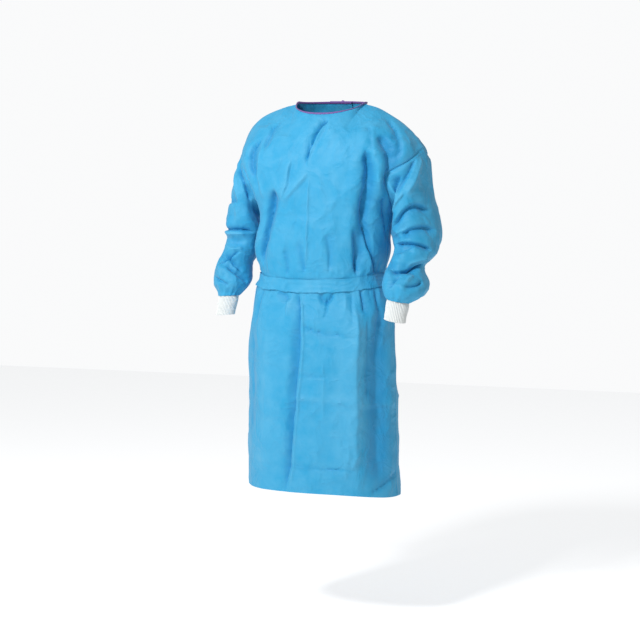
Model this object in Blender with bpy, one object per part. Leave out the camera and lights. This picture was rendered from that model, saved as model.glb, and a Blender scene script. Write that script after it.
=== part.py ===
# Isolation gown: thin nonwoven cloth, open down the back and wrapped over, as it hangs on a
# general standing figure. Every piece of cloth is a thin wall and the inside is empty.
#
# Metres, +Z up, the front towards -Y, the wearer's left towards +X. The origin is the middle
# of the neck opening, level with the neck ends of the shoulder seams.

import math
from collections import namedtuple

import bpy
import numpy as np

# Driving dimensions.
WALL = 0.0012
SEAM_GAP = 0.0003
NECK_HALF_WIDTH = 0.108
NECK_POINT_Z = -0.011
NECK_TILT = -0.004
NECK_FRONT = -0.088
NECK_BACK = 0.078
NECK_FRONT_DROP = 0.038
NECK_BACK_RISE = 0.006
BINDING_HEIGHT = 0.006
BINDING_THICKNESS = 0.0024
BINDING_SEAM = 0.0008
NECK_OVERLAP = 0.045
HEM_OVERLAP = 0.120
LAYER_LIFT = 0.0018
LAYER_RAMP = 0.04
BELT_THICKNESS = 0.0012
BELT_CLEARANCE = 0.0006
BELT_END_GAP = 0.0015
SECTIONS_BELOW_BELT = 4
CUFF_LENGTH = 0.062
CUFF_FORWARD = 0.45
CUFF_SEAM = 0.0006
TURN_STEP = 0.013
SLEEVE_GIRTH_RADIUS = 0.075
CUFF_WALL = 0.0016
FOLD_RADIUS = 0.20

# Columns of the cloth grids, and the share of the front's width that each shoulder takes.
SHOULDER_COLUMNS = 10
NECK_COLUMNS = 12
BACK_NECK_COLUMNS = 7
SHOULDER_SHARE = 0.36

# Body sections from the hem up: four heights (front, left, right, back), the section's middle,
# half its width, its depth to the front and to the back, and how square it is.
# steps is the number of grid rows from this section up to the next.
Section = namedtuple(
    "Section", "name z_front z_left z_right z_back mid_x mid_y half_width front back power steps")
SECTIONS = [
    Section("hem", -1.156, -1.176, -1.152, -1.184, -0.012, -0.020, 0.233, 0.180, 0.165, 2.3, 4),
    Section("shin", -0.980, -0.985, -0.980, -0.990, -0.014, -0.020, 0.229, 0.178, 0.160, 2.3, 4),
    Section("knee", -0.780, -0.780, -0.780, -0.780, -0.016, -0.020, 0.227, 0.172, 0.152, 2.3, 3),
    Section("hip", -0.650, -0.645, -0.645, -0.650, -0.017, -0.020, 0.224, 0.164, 0.146, 2.3, 2),
    Section("belt foot", -0.571, -0.553, -0.552, -0.556, -0.016, -0.022, 0.205, 0.142, 0.128, 2.3, 2),
    Section("belt top", -0.533, -0.517, -0.514, -0.518, -0.014, -0.023, 0.192, 0.137, 0.122, 2.3, 2),
    Section("blouse", -0.470, -0.465, -0.465, -0.465, -0.018, -0.022, 0.206, 0.142, 0.128, 2.3, 2),
    Section("midriff", -0.400, -0.400, -0.400, -0.400, -0.012, -0.020, 0.205, 0.144, 0.134, 2.4, 2),
    Section("underarm", -0.335, -0.340, -0.340, -0.340, -0.004, -0.014, 0.208, 0.146, 0.136, 2.5, 2),
]

# Levels of the dropped armhole from the underarm up to the shoulder tip. The row of cloth at
# each level runs from the armhole, through the middle of the front or of the back.
ArmholeLevel = namedtuple("ArmholeLevel", "name edge_x edge_y edge_z middle_y middle_z power steps")
FRONT_LEVELS = [
    ArmholeLevel("low front", 0.215, -0.066, -0.292, -0.158, -0.272, 2.4, 2),
    ArmholeLevel("mid front", 0.232, -0.090, -0.236, -0.150, -0.200, 2.3, 2),
    ArmholeLevel("high front", 0.270, -0.055, -0.186, -0.128, -0.120, 2.2, 3),
]
BACK_LEVELS = [
    ArmholeLevel("low back", 0.218, 0.062, -0.292, 0.122, -0.272, 2.4, 2),
    ArmholeLevel("mid back", 0.240, 0.090, -0.236, 0.126, -0.190, 2.3, 2),
    ArmholeLevel("high back", 0.276, 0.070, -0.186, 0.112, -0.100, 2.2, 3),
]
# Shoulder seams from the neck to the tip, by side.
SHOULDER_SEAMS = {
    "left": [(0.108, 0.000, -0.015), (0.150, 0.000, -0.027), (0.190, 0.000, -0.048),
             (0.236, 0.002, -0.080), (0.268, 0.006, -0.112), (0.294, 0.010, -0.150)],
    "right": [(-0.108, 0.000, -0.007), (-0.186, 0.002, -0.025), (-0.242, 0.004, -0.050),
              (-0.270, 0.008, -0.073), (-0.290, 0.010, -0.105), (-0.304, 0.012, -0.142)],
}

# Sleeve rings from the armhole down: the middle, half the size across and front to back, the
# lean of the ring's plane (its outer side up), and the grid rows up to this ring.
Ring = namedtuple("Ring", "name x y z across depth lean steps")
LEFT_RINGS = [
    Ring("upper arm", 0.257, 0.016, -0.335, 0.075, 0.100, 42.0, 3),
    Ring("elbow", 0.269, 0.018, -0.405, 0.069, 0.100, 16.0, 3),
    Ring("forearm", 0.274, -0.024, -0.462, 0.055, 0.076, -4.0, 3),
    Ring("tuck", 0.266, -0.054, -0.490, 0.049, 0.066, -8.0, 2),
    Ring("puff", 0.276, -0.086, -0.541, 0.066, 0.078, -10.0, 3),
    Ring("end", 0.269, -0.126, -0.592, 0.034, 0.037, -12.0, 3),
]
RIGHT_RINGS = [
    Ring("upper arm", -0.270, 0.006, -0.335, 0.077, 0.096, 44.0, 3),
    Ring("elbow", -0.288, 0.006, -0.395, 0.063, 0.094, 18.0, 3),
    Ring("forearm", -0.287, -0.022, -0.448, 0.051, 0.074, 4.0, 3),
    Ring("tuck", -0.300, -0.046, -0.486, 0.051, 0.064, 2.0, 2),
    Ring("puff", -0.300, -0.068, -0.548, 0.053, 0.060, 0.0, 3),
    Ring("end", -0.303, -0.086, -0.588, 0.031, 0.034, -2.0, 3),
]
CUFF_RINGS = [(0.0, 0.98), (0.3, 0.96), (0.65, 0.92), (1.0, 0.91)]

# Folds of the body: the bearing round the body (0 front, 90 left, 180 back) and height of
# both ends, half the width, and the height of the ridge (a trough is negative).
Fold = namedtuple("Fold", "name bearing_a z_a bearing_b z_b width rise")
BODY_FOLDS = [
    Fold("left chest drop", 60, -0.13, 60, -0.53, 0.020, -0.014),
    Fold("left armpit drop", 72, -0.11, 74, -0.31, 0.018, -0.010),
    Fold("right chest drop", -38, -0.26, -57, -0.51, 0.022, -0.010),
    Fold("right armpit drop", -66, -0.12, -56, -0.29, 0.018, -0.008),
    Fold("neck drag", 34, -0.06, 0, -0.20, 0.014, -0.006),
    Fold("skirt right fold", -2, -0.60, -12, -1.16, 0.018, -0.009),
    Fold("skirt left fold", 54, -0.60, 50, -1.12, 0.040, 0.006),
    Fold("skirt side wave", -78, -0.66, -82, -1.16, 0.034, 0.007),
    Fold("skirt left wave", 82, -0.66, 84, -1.16, 0.036, 0.008),
    Fold("back drop left", 140, -0.16, 146, -0.50, 0.026, -0.010),
    Fold("back drop right", -138, -0.18, -146, -0.50, 0.026, -0.010),
    Fold("back skirt left", 136, -0.60, 132, -1.16, 0.034, -0.012),
    Fold("back skirt right", -140, -0.60, -134, -1.16, 0.034, -0.012),
    Fold("back skirt middle", 164, -0.60, 160, -1.12, 0.028, 0.007),
]

# Folds of a sleeve: place along it (0 armhole, 1 end) and bearing round it (0 outer side,
# 90 back, 270 front) of both ends, half the width in metres, and the height of the ridge.
SleeveFold = namedtuple("SleeveFold", "name along_a bearing_a along_b bearing_b width rise")
LEFT_SLEEVE_FOLDS = [
    SleeveFold("upper arc", 0.36, 285, 0.44, 225, 0.018, -0.008),
    SleeveFold("elbow arc", 0.52, 300, 0.56, 225, 0.018, -0.010),
    SleeveFold("inner elbow arc", 0.50, 160, 0.56, 220, 0.018, -0.008),
    SleeveFold("forearm tuck", 0.70, 340, 0.70, 200, 0.014, -0.010),
]
RIGHT_SLEEVE_FOLDS = [
    SleeveFold("elbow tuck", 0.50, 350, 0.52, 225, 0.016, -0.012),
    SleeveFold("upper arc", 0.36, 330, 0.32, 270, 0.018, -0.007),
    SleeveFold("forearm arc", 0.68, 315, 0.74, 225, 0.016, -0.007),
]
GATHER_RISE = 0.0022

# Belt ends and neck ties: width, length, how far they swing aside, and the knot's half sizes.
TIE_ROWS = 9
TIE_COLUMNS = 4
TIE_GATHER = 0.35
TIE_CLEARANCE = 0.003
TIE_SMOOTHING = 6
BINDING_SIDES = 8
KNOT_SIDES = 12
KNOT_RINGS = 7
KNOT_STEEPEST = 78.0
BELT_TAIL_WIDTH = 0.038
BELT_TAIL_LENGTHS = {"left": 0.27, "right": 0.245}
BELT_TAIL_SWINGS = {"left": 0.045, "right": 0.052}
BELT_KNOT = (0.017, 0.010, 0.022)
KNOT_GAP = 0.0004
TIE_DIVISIONS = 6
NECK_TAIL_WIDTH = 0.010
NECK_TAIL_LENGTHS = {"left": 0.17, "right": 0.155}
NECK_TAIL_SWING = 0.022
NECK_KNOT = (0.008, 0.005, 0.008)

# Colours (linear), roughness and metallic of each material.
MATERIALS = {
    "gown_cloth": ((0.082, 0.440, 0.720), 0.62, 0.0),
    "neck_binding": ((0.300, 0.140, 0.420), 0.60, 0.0),
    "knit_cuff": ((0.800, 0.820, 0.820), 0.85, 0.0),
}


def unit(vectors):
    return vectors / np.maximum(np.linalg.norm(vectors, axis=-1, keepdims=True), 1e-12)


# Natural cubic spline through the rows of `values` placed at `knots`, read at `at`.
def spline(knots, values, at):
    knots = np.asarray(knots, float)
    gaps = np.diff(knots)
    count = len(knots)
    system = np.zeros((count, count))
    slopes = np.diff(values, axis=0) / gaps.reshape((-1,) + (1,) * (values.ndim - 1))
    right = np.zeros_like(values)
    system[0, 0] = 1.0
    system[-1, -1] = 1.0
    for row in range(1, count - 1):
        system[row, row - 1] = gaps[row - 1]
        system[row, row] = 2.0 * (gaps[row - 1] + gaps[row])
        system[row, row + 1] = gaps[row]
        right[row] = 6.0 * (slopes[row] - slopes[row - 1])
    bend = np.linalg.solve(system, right.reshape(count, -1)).reshape(values.shape)
    span = np.clip(np.searchsorted(knots, at, side="right") - 1, 0, count - 2)
    shape = (-1,) + (1,) * (values.ndim - 1)
    gap = gaps[span].reshape(shape)
    left = ((knots[span + 1] - at) / gaps[span]).reshape(shape)
    right_share = 1.0 - left
    cubic = (left ** 3 - left) * bend[span] + (right_share ** 3 - right_share) * bend[span + 1]
    return left * values[span] + right_share * values[span + 1] + cubic * gap ** 2 / 6.0


# Points at the given fractions of a polyline's length.
def resample(points, fractions):
    lengths = np.concatenate([[0.0], np.cumsum(np.linalg.norm(np.diff(points, axis=0), axis=1))])
    wanted = np.asarray(fractions) * lengths[-1]
    return np.stack([np.interp(wanted, lengths, points[:, axis]) for axis in range(3)], axis=1)


# Half of a body section from the left side seam to the right one; side is -1 for the front.
def section_curve(section, side):
    turn = np.linspace(0.0, math.pi, 361)
    across = np.cos(turn)
    out = np.sin(turn)
    depth = section.front if side < 0 else section.back
    power = 2.0 / section.power
    x = section.mid_x + section.half_width * np.sign(across) * np.abs(across) ** power
    y = section.mid_y + side * depth * np.abs(out) ** power
    middle = section.z_front if side < 0 else section.z_back
    sides = section.z_left * (1.0 + across) / 2.0 + section.z_right * (1.0 - across) / 2.0
    z = sides + (middle - sides) * np.abs(out) ** 1.5
    return np.stack([x, y, z], axis=1)


# One row of cloth from the left armhole through the middle to the right armhole.
def level_curve(level):
    turn = np.linspace(0.0, math.pi, 361)
    across = np.cos(turn)
    out = np.abs(np.sin(turn)) ** (2.0 / level.power)
    x = level.edge_x * np.sign(across) * np.abs(across) ** (2.0 / level.power)
    y = level.edge_y + (level.middle_y - level.edge_y) * out
    z = level.edge_z + (level.middle_z - level.edge_z) * out
    return np.stack([x, y, z], axis=1)


# The shoulder seam of one side from its tip to the neck.
def shoulder_curve(side_name):
    points = np.array(SHOULDER_SEAMS[side_name])[::-1]
    knots = np.concatenate([[0.0], np.cumsum(np.linalg.norm(np.diff(points, axis=0), axis=1))])
    return spline(knots, points, np.linspace(0.0, knots[-1], 61))


# The neckline from the left neck point to the right one.
def neck_curve(side):
    turn = np.linspace(0.0, math.pi, 181)
    out = np.sin(turn)
    depth = NECK_FRONT if side < 0 else NECK_BACK
    rise = -NECK_FRONT_DROP if side < 0 else NECK_BACK_RISE
    x = NECK_HALF_WIDTH * np.cos(turn)
    z = NECK_POINT_Z + NECK_TILT * np.cos(turn) + rise * out ** 1.1
    return np.stack([x, depth * out ** 0.9, z], axis=1)


# Key rows of one side of the body, each at the given fractions of its width. The top row is
# the shoulder seams and the neckline; fractions past the shoulders' share lie on the neckline.
def key_rows(side, fractions_of_row):
    levels = FRONT_LEVELS if side < 0 else BACK_LEVELS
    curves = [section_curve(section, side) for section in SECTIONS]
    curves += [level_curve(level) for level in levels]
    rows = [resample(curve, fractions_of_row(index)) for index, curve in enumerate(curves)]
    top = fractions_of_row(len(curves))
    left = np.clip(top / SHOULDER_SHARE, 0.0, 1.0)
    right = np.clip((1.0 - top) / SHOULDER_SHARE, 0.0, 1.0)
    middle = np.clip((top - SHOULDER_SHARE) / (1.0 - 2.0 * SHOULDER_SHARE), 0.0, 1.0)
    on_left = resample(shoulder_curve("left"), left)
    on_right = resample(shoulder_curve("right"), right)
    on_neck = resample(neck_curve(side), middle)
    is_left = (top <= SHOULDER_SHARE)[:, None]
    is_right = (top >= 1.0 - SHOULDER_SHARE)[:, None]
    rows.append(np.where(is_left, on_left, np.where(is_right, on_right, on_neck)))
    return np.array(rows)


def row_steps(side):
    levels = FRONT_LEVELS if side < 0 else BACK_LEVELS
    return [section.steps for section in SECTIONS] + [level.steps for level in levels]


# Grid of one side of the body: natural cubic columns through the key rows.
def body_grid(side, fractions_of_row):
    rows = key_rows(side, fractions_of_row)
    distance = np.linalg.norm(np.diff(rows, axis=0), axis=2).mean(axis=1)
    knots = np.concatenate([[0.0], np.cumsum(distance)])
    places = [knots[0]]
    for index, steps in enumerate(row_steps(side)):
        places += list(np.linspace(knots[index], knots[index + 1], steps + 1)[1:])
    return spline(knots, rows, np.array(places))


def underarm_row():
    return sum(section.steps for section in SECTIONS[:-1])


def belt_rows():
    names = [section.name for section in SECTIONS]
    first = sum(section.steps for section in SECTIONS[:names.index("belt foot")])
    return first, first + SECTIONS[names.index("belt foot")].steps


def fade(values):
    clipped = np.clip(values, 0.0, 1.0)
    return clipped * clipped * (3.0 - 2.0 * clipped)


# Height of a fold at distance d from its line a-b: rise * exp(-(d / width)^2), with the share
# t along the line fading it to nothing at both ends.
def fold_height(u, v, start, end, width, rise):
    run = np.array([end[0] - start[0], end[1] - start[1]])
    length = float(np.hypot(*run))
    direction = run / length
    along = ((u - start[0]) * direction[0] + (v - start[1]) * direction[1]) / length
    off = (u - start[0]) * direction[1] - (v - start[1]) * direction[0]
    taper = fade(along / 0.22) * fade((1.0 - along) / 0.22)
    return rise * np.exp(-(off / width) ** 2) * taper


# How far the body's cloth moves out at each point, from its bearing and height.
def body_relief(points):
    bearing = np.arctan2(points[..., 0] + 0.015, -(points[..., 1] + 0.020))
    height = np.zeros(points.shape[:-1])
    for fold in BODY_FOLDS:
        middle = math.radians(0.5 * (fold.bearing_a + fold.bearing_b))
        wrapped = (bearing - middle + math.pi) % (2.0 * math.pi) - math.pi
        start = ((math.radians(fold.bearing_a) - middle) * FOLD_RADIUS, fold.z_a)
        end = ((math.radians(fold.bearing_b) - middle) * FOLD_RADIUS, fold.z_b)
        height += fold_height(wrapped * FOLD_RADIUS, points[..., 2], start, end, fold.width, fold.rise)
    return height


# Unit normals of a grid from the cross product of its column and row directions.
def grid_normals(points, closed_columns=False):
    if closed_columns:
        across = np.roll(points, -1, axis=1) - np.roll(points, 1, axis=1)
    else:
        across = np.gradient(points, axis=1)
    up = np.gradient(points, axis=0)
    return unit(np.cross(across, up))


# Gives two edges that meet at a seam one shared normal.
def share_edges(first, first_index, second, second_index):
    mean = unit(first[first_index] + second[second_index])
    first[first_index] = mean
    second[second_index] = mean


# Draws one edge of a grid back from its seam by half the seam gap.
def draw_back(points, axis, end):
    edge = 0 if end == 0 else -1
    inner = 1 if end == 0 else -2
    index = (edge, slice(None)) if axis == 0 else (slice(None), edge)
    next_index = (inner, slice(None)) if axis == 0 else (slice(None), inner)
    points[index] = points[index] + unit(points[next_index] - points[index]) * SEAM_GAP / 2.0


# Draws some columns of the top row back from the shoulder seam.
def draw_back_row(points, columns):
    step = unit(points[-2, columns] - points[-1, columns]) * SEAM_GAP / 2.0
    points[-1, columns] = points[-1, columns] + step


# A closed wall between an outer and an inner grid. Outer faces run up and across so that they
# point out; closed_columns joins the last column to the first.
def wall_faces(rows, columns, closed_columns):
    span = columns if closed_columns else columns - 1
    row, column = np.meshgrid(np.arange(rows - 1), np.arange(span), indexing="ij")
    following = (column + 1) % columns
    low = row * columns
    outer = np.stack([low + column, low + following, low + columns + following,
                      low + columns + column], axis=-1).reshape(-1, 4)
    inner = outer[:, ::-1] + rows * columns
    faces = outer.tolist() + inner.tolist()
    for index in range(span):
        after = (index + 1) % columns
        base = rows * columns
        top = (rows - 1) * columns
        faces.append([after, index, base + index, base + after])
        faces.append([top + index, top + after, base + top + after, base + top + index])
    if not closed_columns:
        for index in range(rows - 1):
            low = index * columns
            high = low + columns
            base = rows * columns
            last = columns - 1
            faces.append([low, high, base + high, base + low])
            faces.append([high + last, low + last, base + low + last, base + high + last])
    return faces


def make_material(name):
    colour, roughness, metallic = MATERIALS[name]
    material = bpy.data.materials.get(name)
    if material is None:
        material = bpy.data.materials.new(name)
        material.use_nodes = True
        shader = material.node_tree.nodes["Principled BSDF"]
        shader.inputs["Base Color"].default_value = (*colour, 1.0)
        shader.inputs["Roughness"].default_value = roughness
        shader.inputs["Metallic"].default_value = metallic
    return material


def make_object(name, vertices, faces, material):
    mesh = bpy.data.meshes.new(name)
    mesh.from_pydata([tuple(vertex) for vertex in vertices], [], faces)
    mesh.update()
    mesh.shade_smooth()
    mesh.set_sharp_from_angle(angle=math.radians(50.0))
    mesh.materials.append(make_material(material))
    thing = bpy.data.objects.new(name, mesh)
    bpy.context.scene.collection.objects.link(thing)
    return thing


# A wall from its outer grid and normals; flip turns a grid whose columns run the other way.
def make_wall(name, outer, normals, thickness, material, closed_columns=False, flip=False):
    inner = outer - normals * thickness
    if flip:
        outer = outer[:, ::-1]
        inner = inner[:, ::-1]
    rows, columns = outer.shape[:2]
    vertices = np.concatenate([outer.reshape(-1, 3), inner.reshape(-1, 3)])
    return make_object(name, vertices, wall_faces(rows, columns, closed_columns), material)


# Shares of the front's width at the grid columns.
def front_fractions(_key_row):
    shoulder = np.linspace(0.0, SHOULDER_SHARE, SHOULDER_COLUMNS + 1)
    neck = np.linspace(SHOULDER_SHARE, 1.0 - SHOULDER_SHARE, NECK_COLUMNS + 1)[1:-1]
    return np.concatenate([shoulder, neck, 1.0 - shoulder[::-1]])


# Half the overlap of the two backs as a share of the row's width: small at the neck.
def overlap_share(row):
    last = len(SECTIONS) + len(BACK_LEVELS)
    overlap = HEM_OVERLAP + (NECK_OVERLAP - HEM_OVERLAP) * row / last
    width = 0.62 if row < last else 0.66
    return 0.5 * overlap / width


# Shares of the back's width for one back panel, from its side seam past the middle.
def back_fractions(row):
    shoulder = np.linspace(0.0, SHOULDER_SHARE, SHOULDER_COLUMNS + 1)
    reach = 0.5 + overlap_share(row)
    neck = np.linspace(SHOULDER_SHARE, reach, BACK_NECK_COLUMNS + 1)[1:]
    return np.concatenate([shoulder, neck])


def mirrored_back_fractions(row):
    return 1.0 - back_fractions(row)


# Lift of a back layer over its column shares: zero at the shoulder, full where layers cross.
def layer_lift(fractions):
    return LAYER_LIFT * fade((fractions - SHOULDER_SHARE) / LAYER_RAMP)


# Brings the side edges of two grids together up to the underarm, and spreads the change over
# the next columns.
def match_side(front, front_columns, back):
    rows = slice(0, underarm_row() + 1)
    shift = (back[rows, 0] - front[rows, front_columns[0]]) / 2.0
    for step, column in enumerate(front_columns):
        share = fade(np.array(1.0 - step / len(front_columns)))
        front[rows, column] += shift * share
        back[rows, step] -= shift * share


# The three body grids with their folds, and normals shared along the seams.
def body_cloth():
    front = body_grid(-1, front_fractions)
    left = body_grid(1, back_fractions)
    right = body_grid(1, mirrored_back_fractions)
    grids = {"front": front, "left": left, "right": right}
    match_side(front, [0, 1, 2, 3], left)
    match_side(front, [-1, -2, -3, -4], right)
    lifts = layer_lift(back_fractions(0))
    normals = {"front": -grid_normals(front), "left": grid_normals(left), "right": -grid_normals(right)}
    join_seams(normals)
    for name, grid in grids.items():
        grid += normals[name] * body_relief(grid)[..., None]
    normals = {"front": -grid_normals(front), "left": grid_normals(left), "right": -grid_normals(right)}
    join_seams(normals)
    left += normals["left"] * lifts[None, :, None]
    right -= normals["right"] * lifts[None, :, None]
    return grids, normals


# Seams of the body: the sides up to the underarm, and the shoulders.
def join_seams(normals):
    side = slice(0, underarm_row() + 1)
    share_edges(normals["front"], (side, 0), normals["left"], (side, 0))
    share_edges(normals["front"], (side, -1), normals["right"], (side, 0))
    count = SHOULDER_COLUMNS + 1
    share_edges(normals["front"], (-1, slice(0, count)), normals["left"], (-1, slice(0, count)))
    backward = slice(-1, -count - 1, -1)
    share_edges(normals["front"], (-1, backward), normals["right"], (-1, slice(0, count)))


# The armhole loop of one sleeve: up the back from the underarm, over the tip, down the front.
def armhole_loop(front_edge, back_edge):
    start = underarm_row()
    return np.concatenate([front_edge[start:-1], back_edge[start + 1:][::-1]])


# One sleeve ring as a loop of points, started and turned to match the armhole loop.
def ring_loop(ring, mirror, turns):
    lean = math.radians(ring.lean)
    outward = np.array([mirror * math.cos(lean), 0.0, math.sin(lean)])
    middle = np.array([ring.x, ring.y, ring.z])
    across = np.cos(turns)[:, None] * outward * ring.across
    along = np.sin(turns)[:, None] * np.array([0.0, 1.0, 0.0]) * ring.depth
    return middle + across + along


# Bearing of each loop point round the sleeve: the underarm is the inner side, the front
# follows, then the tip as the outer side, then the back.
def loop_turns(loop):
    lengths = np.linalg.norm(np.diff(np.vstack([loop, loop[:1]]), axis=0), axis=1)
    share = np.concatenate([[0.0], np.cumsum(lengths)[:-1]]) / lengths.sum()
    return math.pi + 2.0 * math.pi * share


def sleeve_relief(along, turns, girth, length, folds):
    height = np.zeros((len(along), len(turns)))
    for fold in folds:
        middle = math.radians(0.5 * (fold.bearing_a + fold.bearing_b))
        wrapped = (turns - middle + math.pi) % (2.0 * math.pi) - math.pi
        u, v = np.meshgrid(wrapped * girth, along * length)
        start = ((math.radians(fold.bearing_a) - middle) * girth, fold.along_a * length)
        end = ((math.radians(fold.bearing_b) - middle) * girth, fold.along_b * length)
        height += fold_height(u, v, start, end, fold.width, fold.rise)
    return height


# A ring just past the armhole, which turns the cloth over at the underarm and lets it run on
# from the shoulder at the tip.
def turn_ring(loop, turns, mirror):
    over = np.cos(turns)
    step = np.stack([mirror * (0.72 - 0.27 * over), np.zeros_like(turns), -0.5 - 0.4 * over], axis=1)
    return loop + unit(step) * TURN_STEP


# A sleeve grid: natural cubic lines from the armhole loop through the rings, with its folds
# and the gathers of its end.
def sleeve_cloth(loop, rings, mirror, folds):
    turns = loop_turns(loop)
    keys = np.array([loop, turn_ring(loop, turns, mirror)]
                    + [ring_loop(ring, mirror, turns) for ring in rings])
    distance = np.linalg.norm(np.diff(keys, axis=0), axis=2).mean(axis=1)
    knots = np.concatenate([[0.0], np.cumsum(distance)])
    places = [0.0, knots[1]]
    for index, ring in enumerate(rings):
        places += list(np.linspace(knots[index + 1], knots[index + 2], ring.steps + 1)[1:])
    places = np.array(places)
    grid = spline(knots, keys, places)
    normals = grid_normals(grid, True) * -mirror
    along = places / places[-1]
    height = sleeve_relief(along, turns, SLEEVE_GIRTH_RADIUS, places[-1], folds)
    gather = np.where(np.arange(len(turns)) % 2 == 0, GATHER_RISE, -GATHER_RISE)
    height += gather[None, :] * fade((along[:, None] - 0.80) / 0.16)
    grid[1:] += normals[1:] * height[1:, :, None]
    return grid, grid_normals(grid, True) * -mirror


# Gives the armhole edges of the two panels and the sleeve's first ring one normal each.
def join_armhole(front_normals, front_column, back_normals, sleeve_normals):
    start = underarm_row()
    count = front_normals.shape[0] - start
    front = front_normals[start:, front_column]
    back = back_normals[start:, 0]
    total = unit(np.concatenate([front[:-1], back[1:][::-1]]) + sleeve_normals[0])
    sleeve_normals[0] = total
    front_normals[start:, front_column] = total[:count]
    back_normals[start:, 0] = np.concatenate([total[:1], total[:count - 2:-1]])


# A knitted cuff that carries on from the sleeve's last ring towards the hand.
def cuff_cloth(ring, mirror, turns):
    toward_hand = unit(np.array([0.0, -CUFF_FORWARD, -1.0]))
    rows = []
    for share, size in CUFF_RINGS:
        loop = ring_loop(ring, mirror, turns)
        middle = loop.mean(axis=0)
        centre = middle + toward_hand * (CUFF_SEAM + share * CUFF_LENGTH)
        rows.append(centre + (loop - middle) * size)
    grid = np.array(rows)
    return grid, grid_normals(grid, True) * -mirror


# A point row between two columns of a grid.
def between_columns(grid, place):
    column = min(int(place), grid.shape[1] - 2)
    share = place - column
    return grid[:, column] * (1.0 - share) + grid[:, column + 1] * share


# One back's columns for the belt: from the side seam to the belt's end by the knot.
def belt_side(points, normals, extra):
    low, high = belt_rows()
    rows = slice(low, high + 1)
    shares = back_fractions(SECTIONS_BELOW_BELT)
    end_share = 0.5 - BELT_END_GAP
    inside = shares < end_share - 0.01
    place = np.interp(end_share, shares, np.arange(len(shares)))
    moved = points[rows] + normals[rows] * (BELT_CLEARANCE + BELT_THICKNESS + extra)[None, :, None]
    grid = np.concatenate([moved[:, inside], between_columns(moved, place)[:, None]], axis=1)
    normal = np.concatenate([normals[rows][:, inside], between_columns(normals[rows], place)[:, None]],
                            axis=1)
    return grid, unit(normal)


# The belt's outer grid on the body grids: from the knot over the left back, the front and
# the right back to the knot again. Over the right back it bridges the lower layer's step.
def belt_cloth(grids, normals):
    low, high = belt_rows()
    rows = slice(low, high + 1)
    lifts = layer_lift(back_fractions(SECTIONS_BELOW_BELT))
    left, left_normals = belt_side(grids["left"], normals["left"], lifts * 0.0)
    right, right_normals = belt_side(grids["right"], normals["right"], lifts * 2.0)
    front = grids["front"][rows] + normals["front"][rows] * (BELT_CLEARANCE + BELT_THICKNESS)
    grid = np.concatenate([left[:, :0:-1], front, right[:, 1:]], axis=1)
    normal = np.concatenate([left_normals[:, :0:-1], normals["front"][rows], right_normals[:, 1:]], axis=1)
    return grid, normal


# The neck edge from the right back's end over the front to the left back's end: its points,
# their outward normals, and the direction in which the cloth runs out at the edge.
def neck_edge(grids, normals):
    first = SHOULDER_COLUMNS
    last = SHOULDER_COLUMNS + NECK_COLUMNS
    right = slice(None, first, -1)
    parts = [("right", right), ("front", slice(last, first - 1, -1)), ("left", slice(first + 1, None))]
    points = np.concatenate([grids[name][-1, columns] for name, columns in parts])
    outward = np.concatenate([normals[name][-1, columns] for name, columns in parts])
    leaving = np.concatenate([unit(grids[name][-1, columns] - grids[name][-2, columns])
                              for name, columns in parts])
    for name, place in (("right", BACK_NECK_COLUMNS), ("left", BACK_NECK_COLUMNS + NECK_COLUMNS)):
        back_leaving = unit(grids[name][-1, first] - grids[name][-2, first])
        leaving[place] = unit(leaving[place] + back_leaving)
    leaving[1:-1] = unit(leaving[:-2] + 2.0 * leaving[1:-1] + leaving[2:])
    return points, outward, leaving


# The binding: a rounded strip that carries on from the neck edge.
def make_binding(grids, normals):
    points, outward, leaving = neck_edge(grids, normals)
    middle = points - outward * WALL / 2.0 + leaving * (BINDING_SEAM + BINDING_HEIGHT / 2.0)
    turns = math.pi / BINDING_SIDES - np.arange(BINDING_SIDES) * 2.0 * math.pi / BINDING_SIDES
    wide = BINDING_THICKNESS / 2.0 * np.sign(np.cos(turns)) * np.abs(np.cos(turns)) ** 0.6
    tall = BINDING_HEIGHT / 2.0 * np.sign(np.sin(turns)) * np.abs(np.sin(turns)) ** 0.6
    rings = middle[:, None] + outward[:, None] * wide[None, :, None] + leaving[:, None] * tall[None, :, None]
    make_tube("neck_binding", rings, "neck_binding")
    return rings


# A closed tube through rings of points, with flat ends.
def make_tube(name, rings, material):
    count, sides = rings.shape[:2]
    faces = []
    for ring in range(count - 1):
        for side in range(sides):
            after = (side + 1) % sides
            low = ring * sides
            faces.append([low + side, low + after, low + sides + after, low + sides + side])
    faces.append(list(range(sides))[::-1])
    faces.append(list(range((count - 1) * sides, count * sides)))
    make_object(name, rings.reshape(-1, 3), faces, material)


# A rounded knot: points at longitude and latitude on a soft-cornered ellipsoid.
def make_knot(name, middle, half_sizes, material):
    longitudes = np.arange(KNOT_SIDES) * 2.0 * math.pi / KNOT_SIDES
    steepest = math.radians(KNOT_STEEPEST)
    latitudes = np.linspace(-steepest, steepest, KNOT_RINGS)
    size = np.array(half_sizes)
    rings = np.array([[middle + size * np.array([math.cos(latitude) * math.cos(longitude),
                                                 math.cos(latitude) * math.sin(longitude),
                                                 math.sin(latitude) / math.sin(steepest)])
                       for longitude in longitudes] for latitude in latitudes])
    make_tube(name, rings, material)


# How far back the cloth of the back reaches at x and height z, both layers taken together.
def back_reach(grids, x, z):
    reach = -1.0
    for name in ("left", "right"):
        grid = grids[name]
        order = grid if grid[0, 0, 0] < grid[0, -1, 0] else grid[:, ::-1]
        rows = [(np.interp(x, row[:, 0], row[:, 2]), np.interp(x, row[:, 0], row[:, 1]))
                for row in order if row[0, 0] - 0.001 <= x <= row[-1, 0] + 0.001]
        if rows:
            heights, depths = np.array(rows).T
            reach = max(reach, np.interp(z, heights, depths))
    return reach


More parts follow.
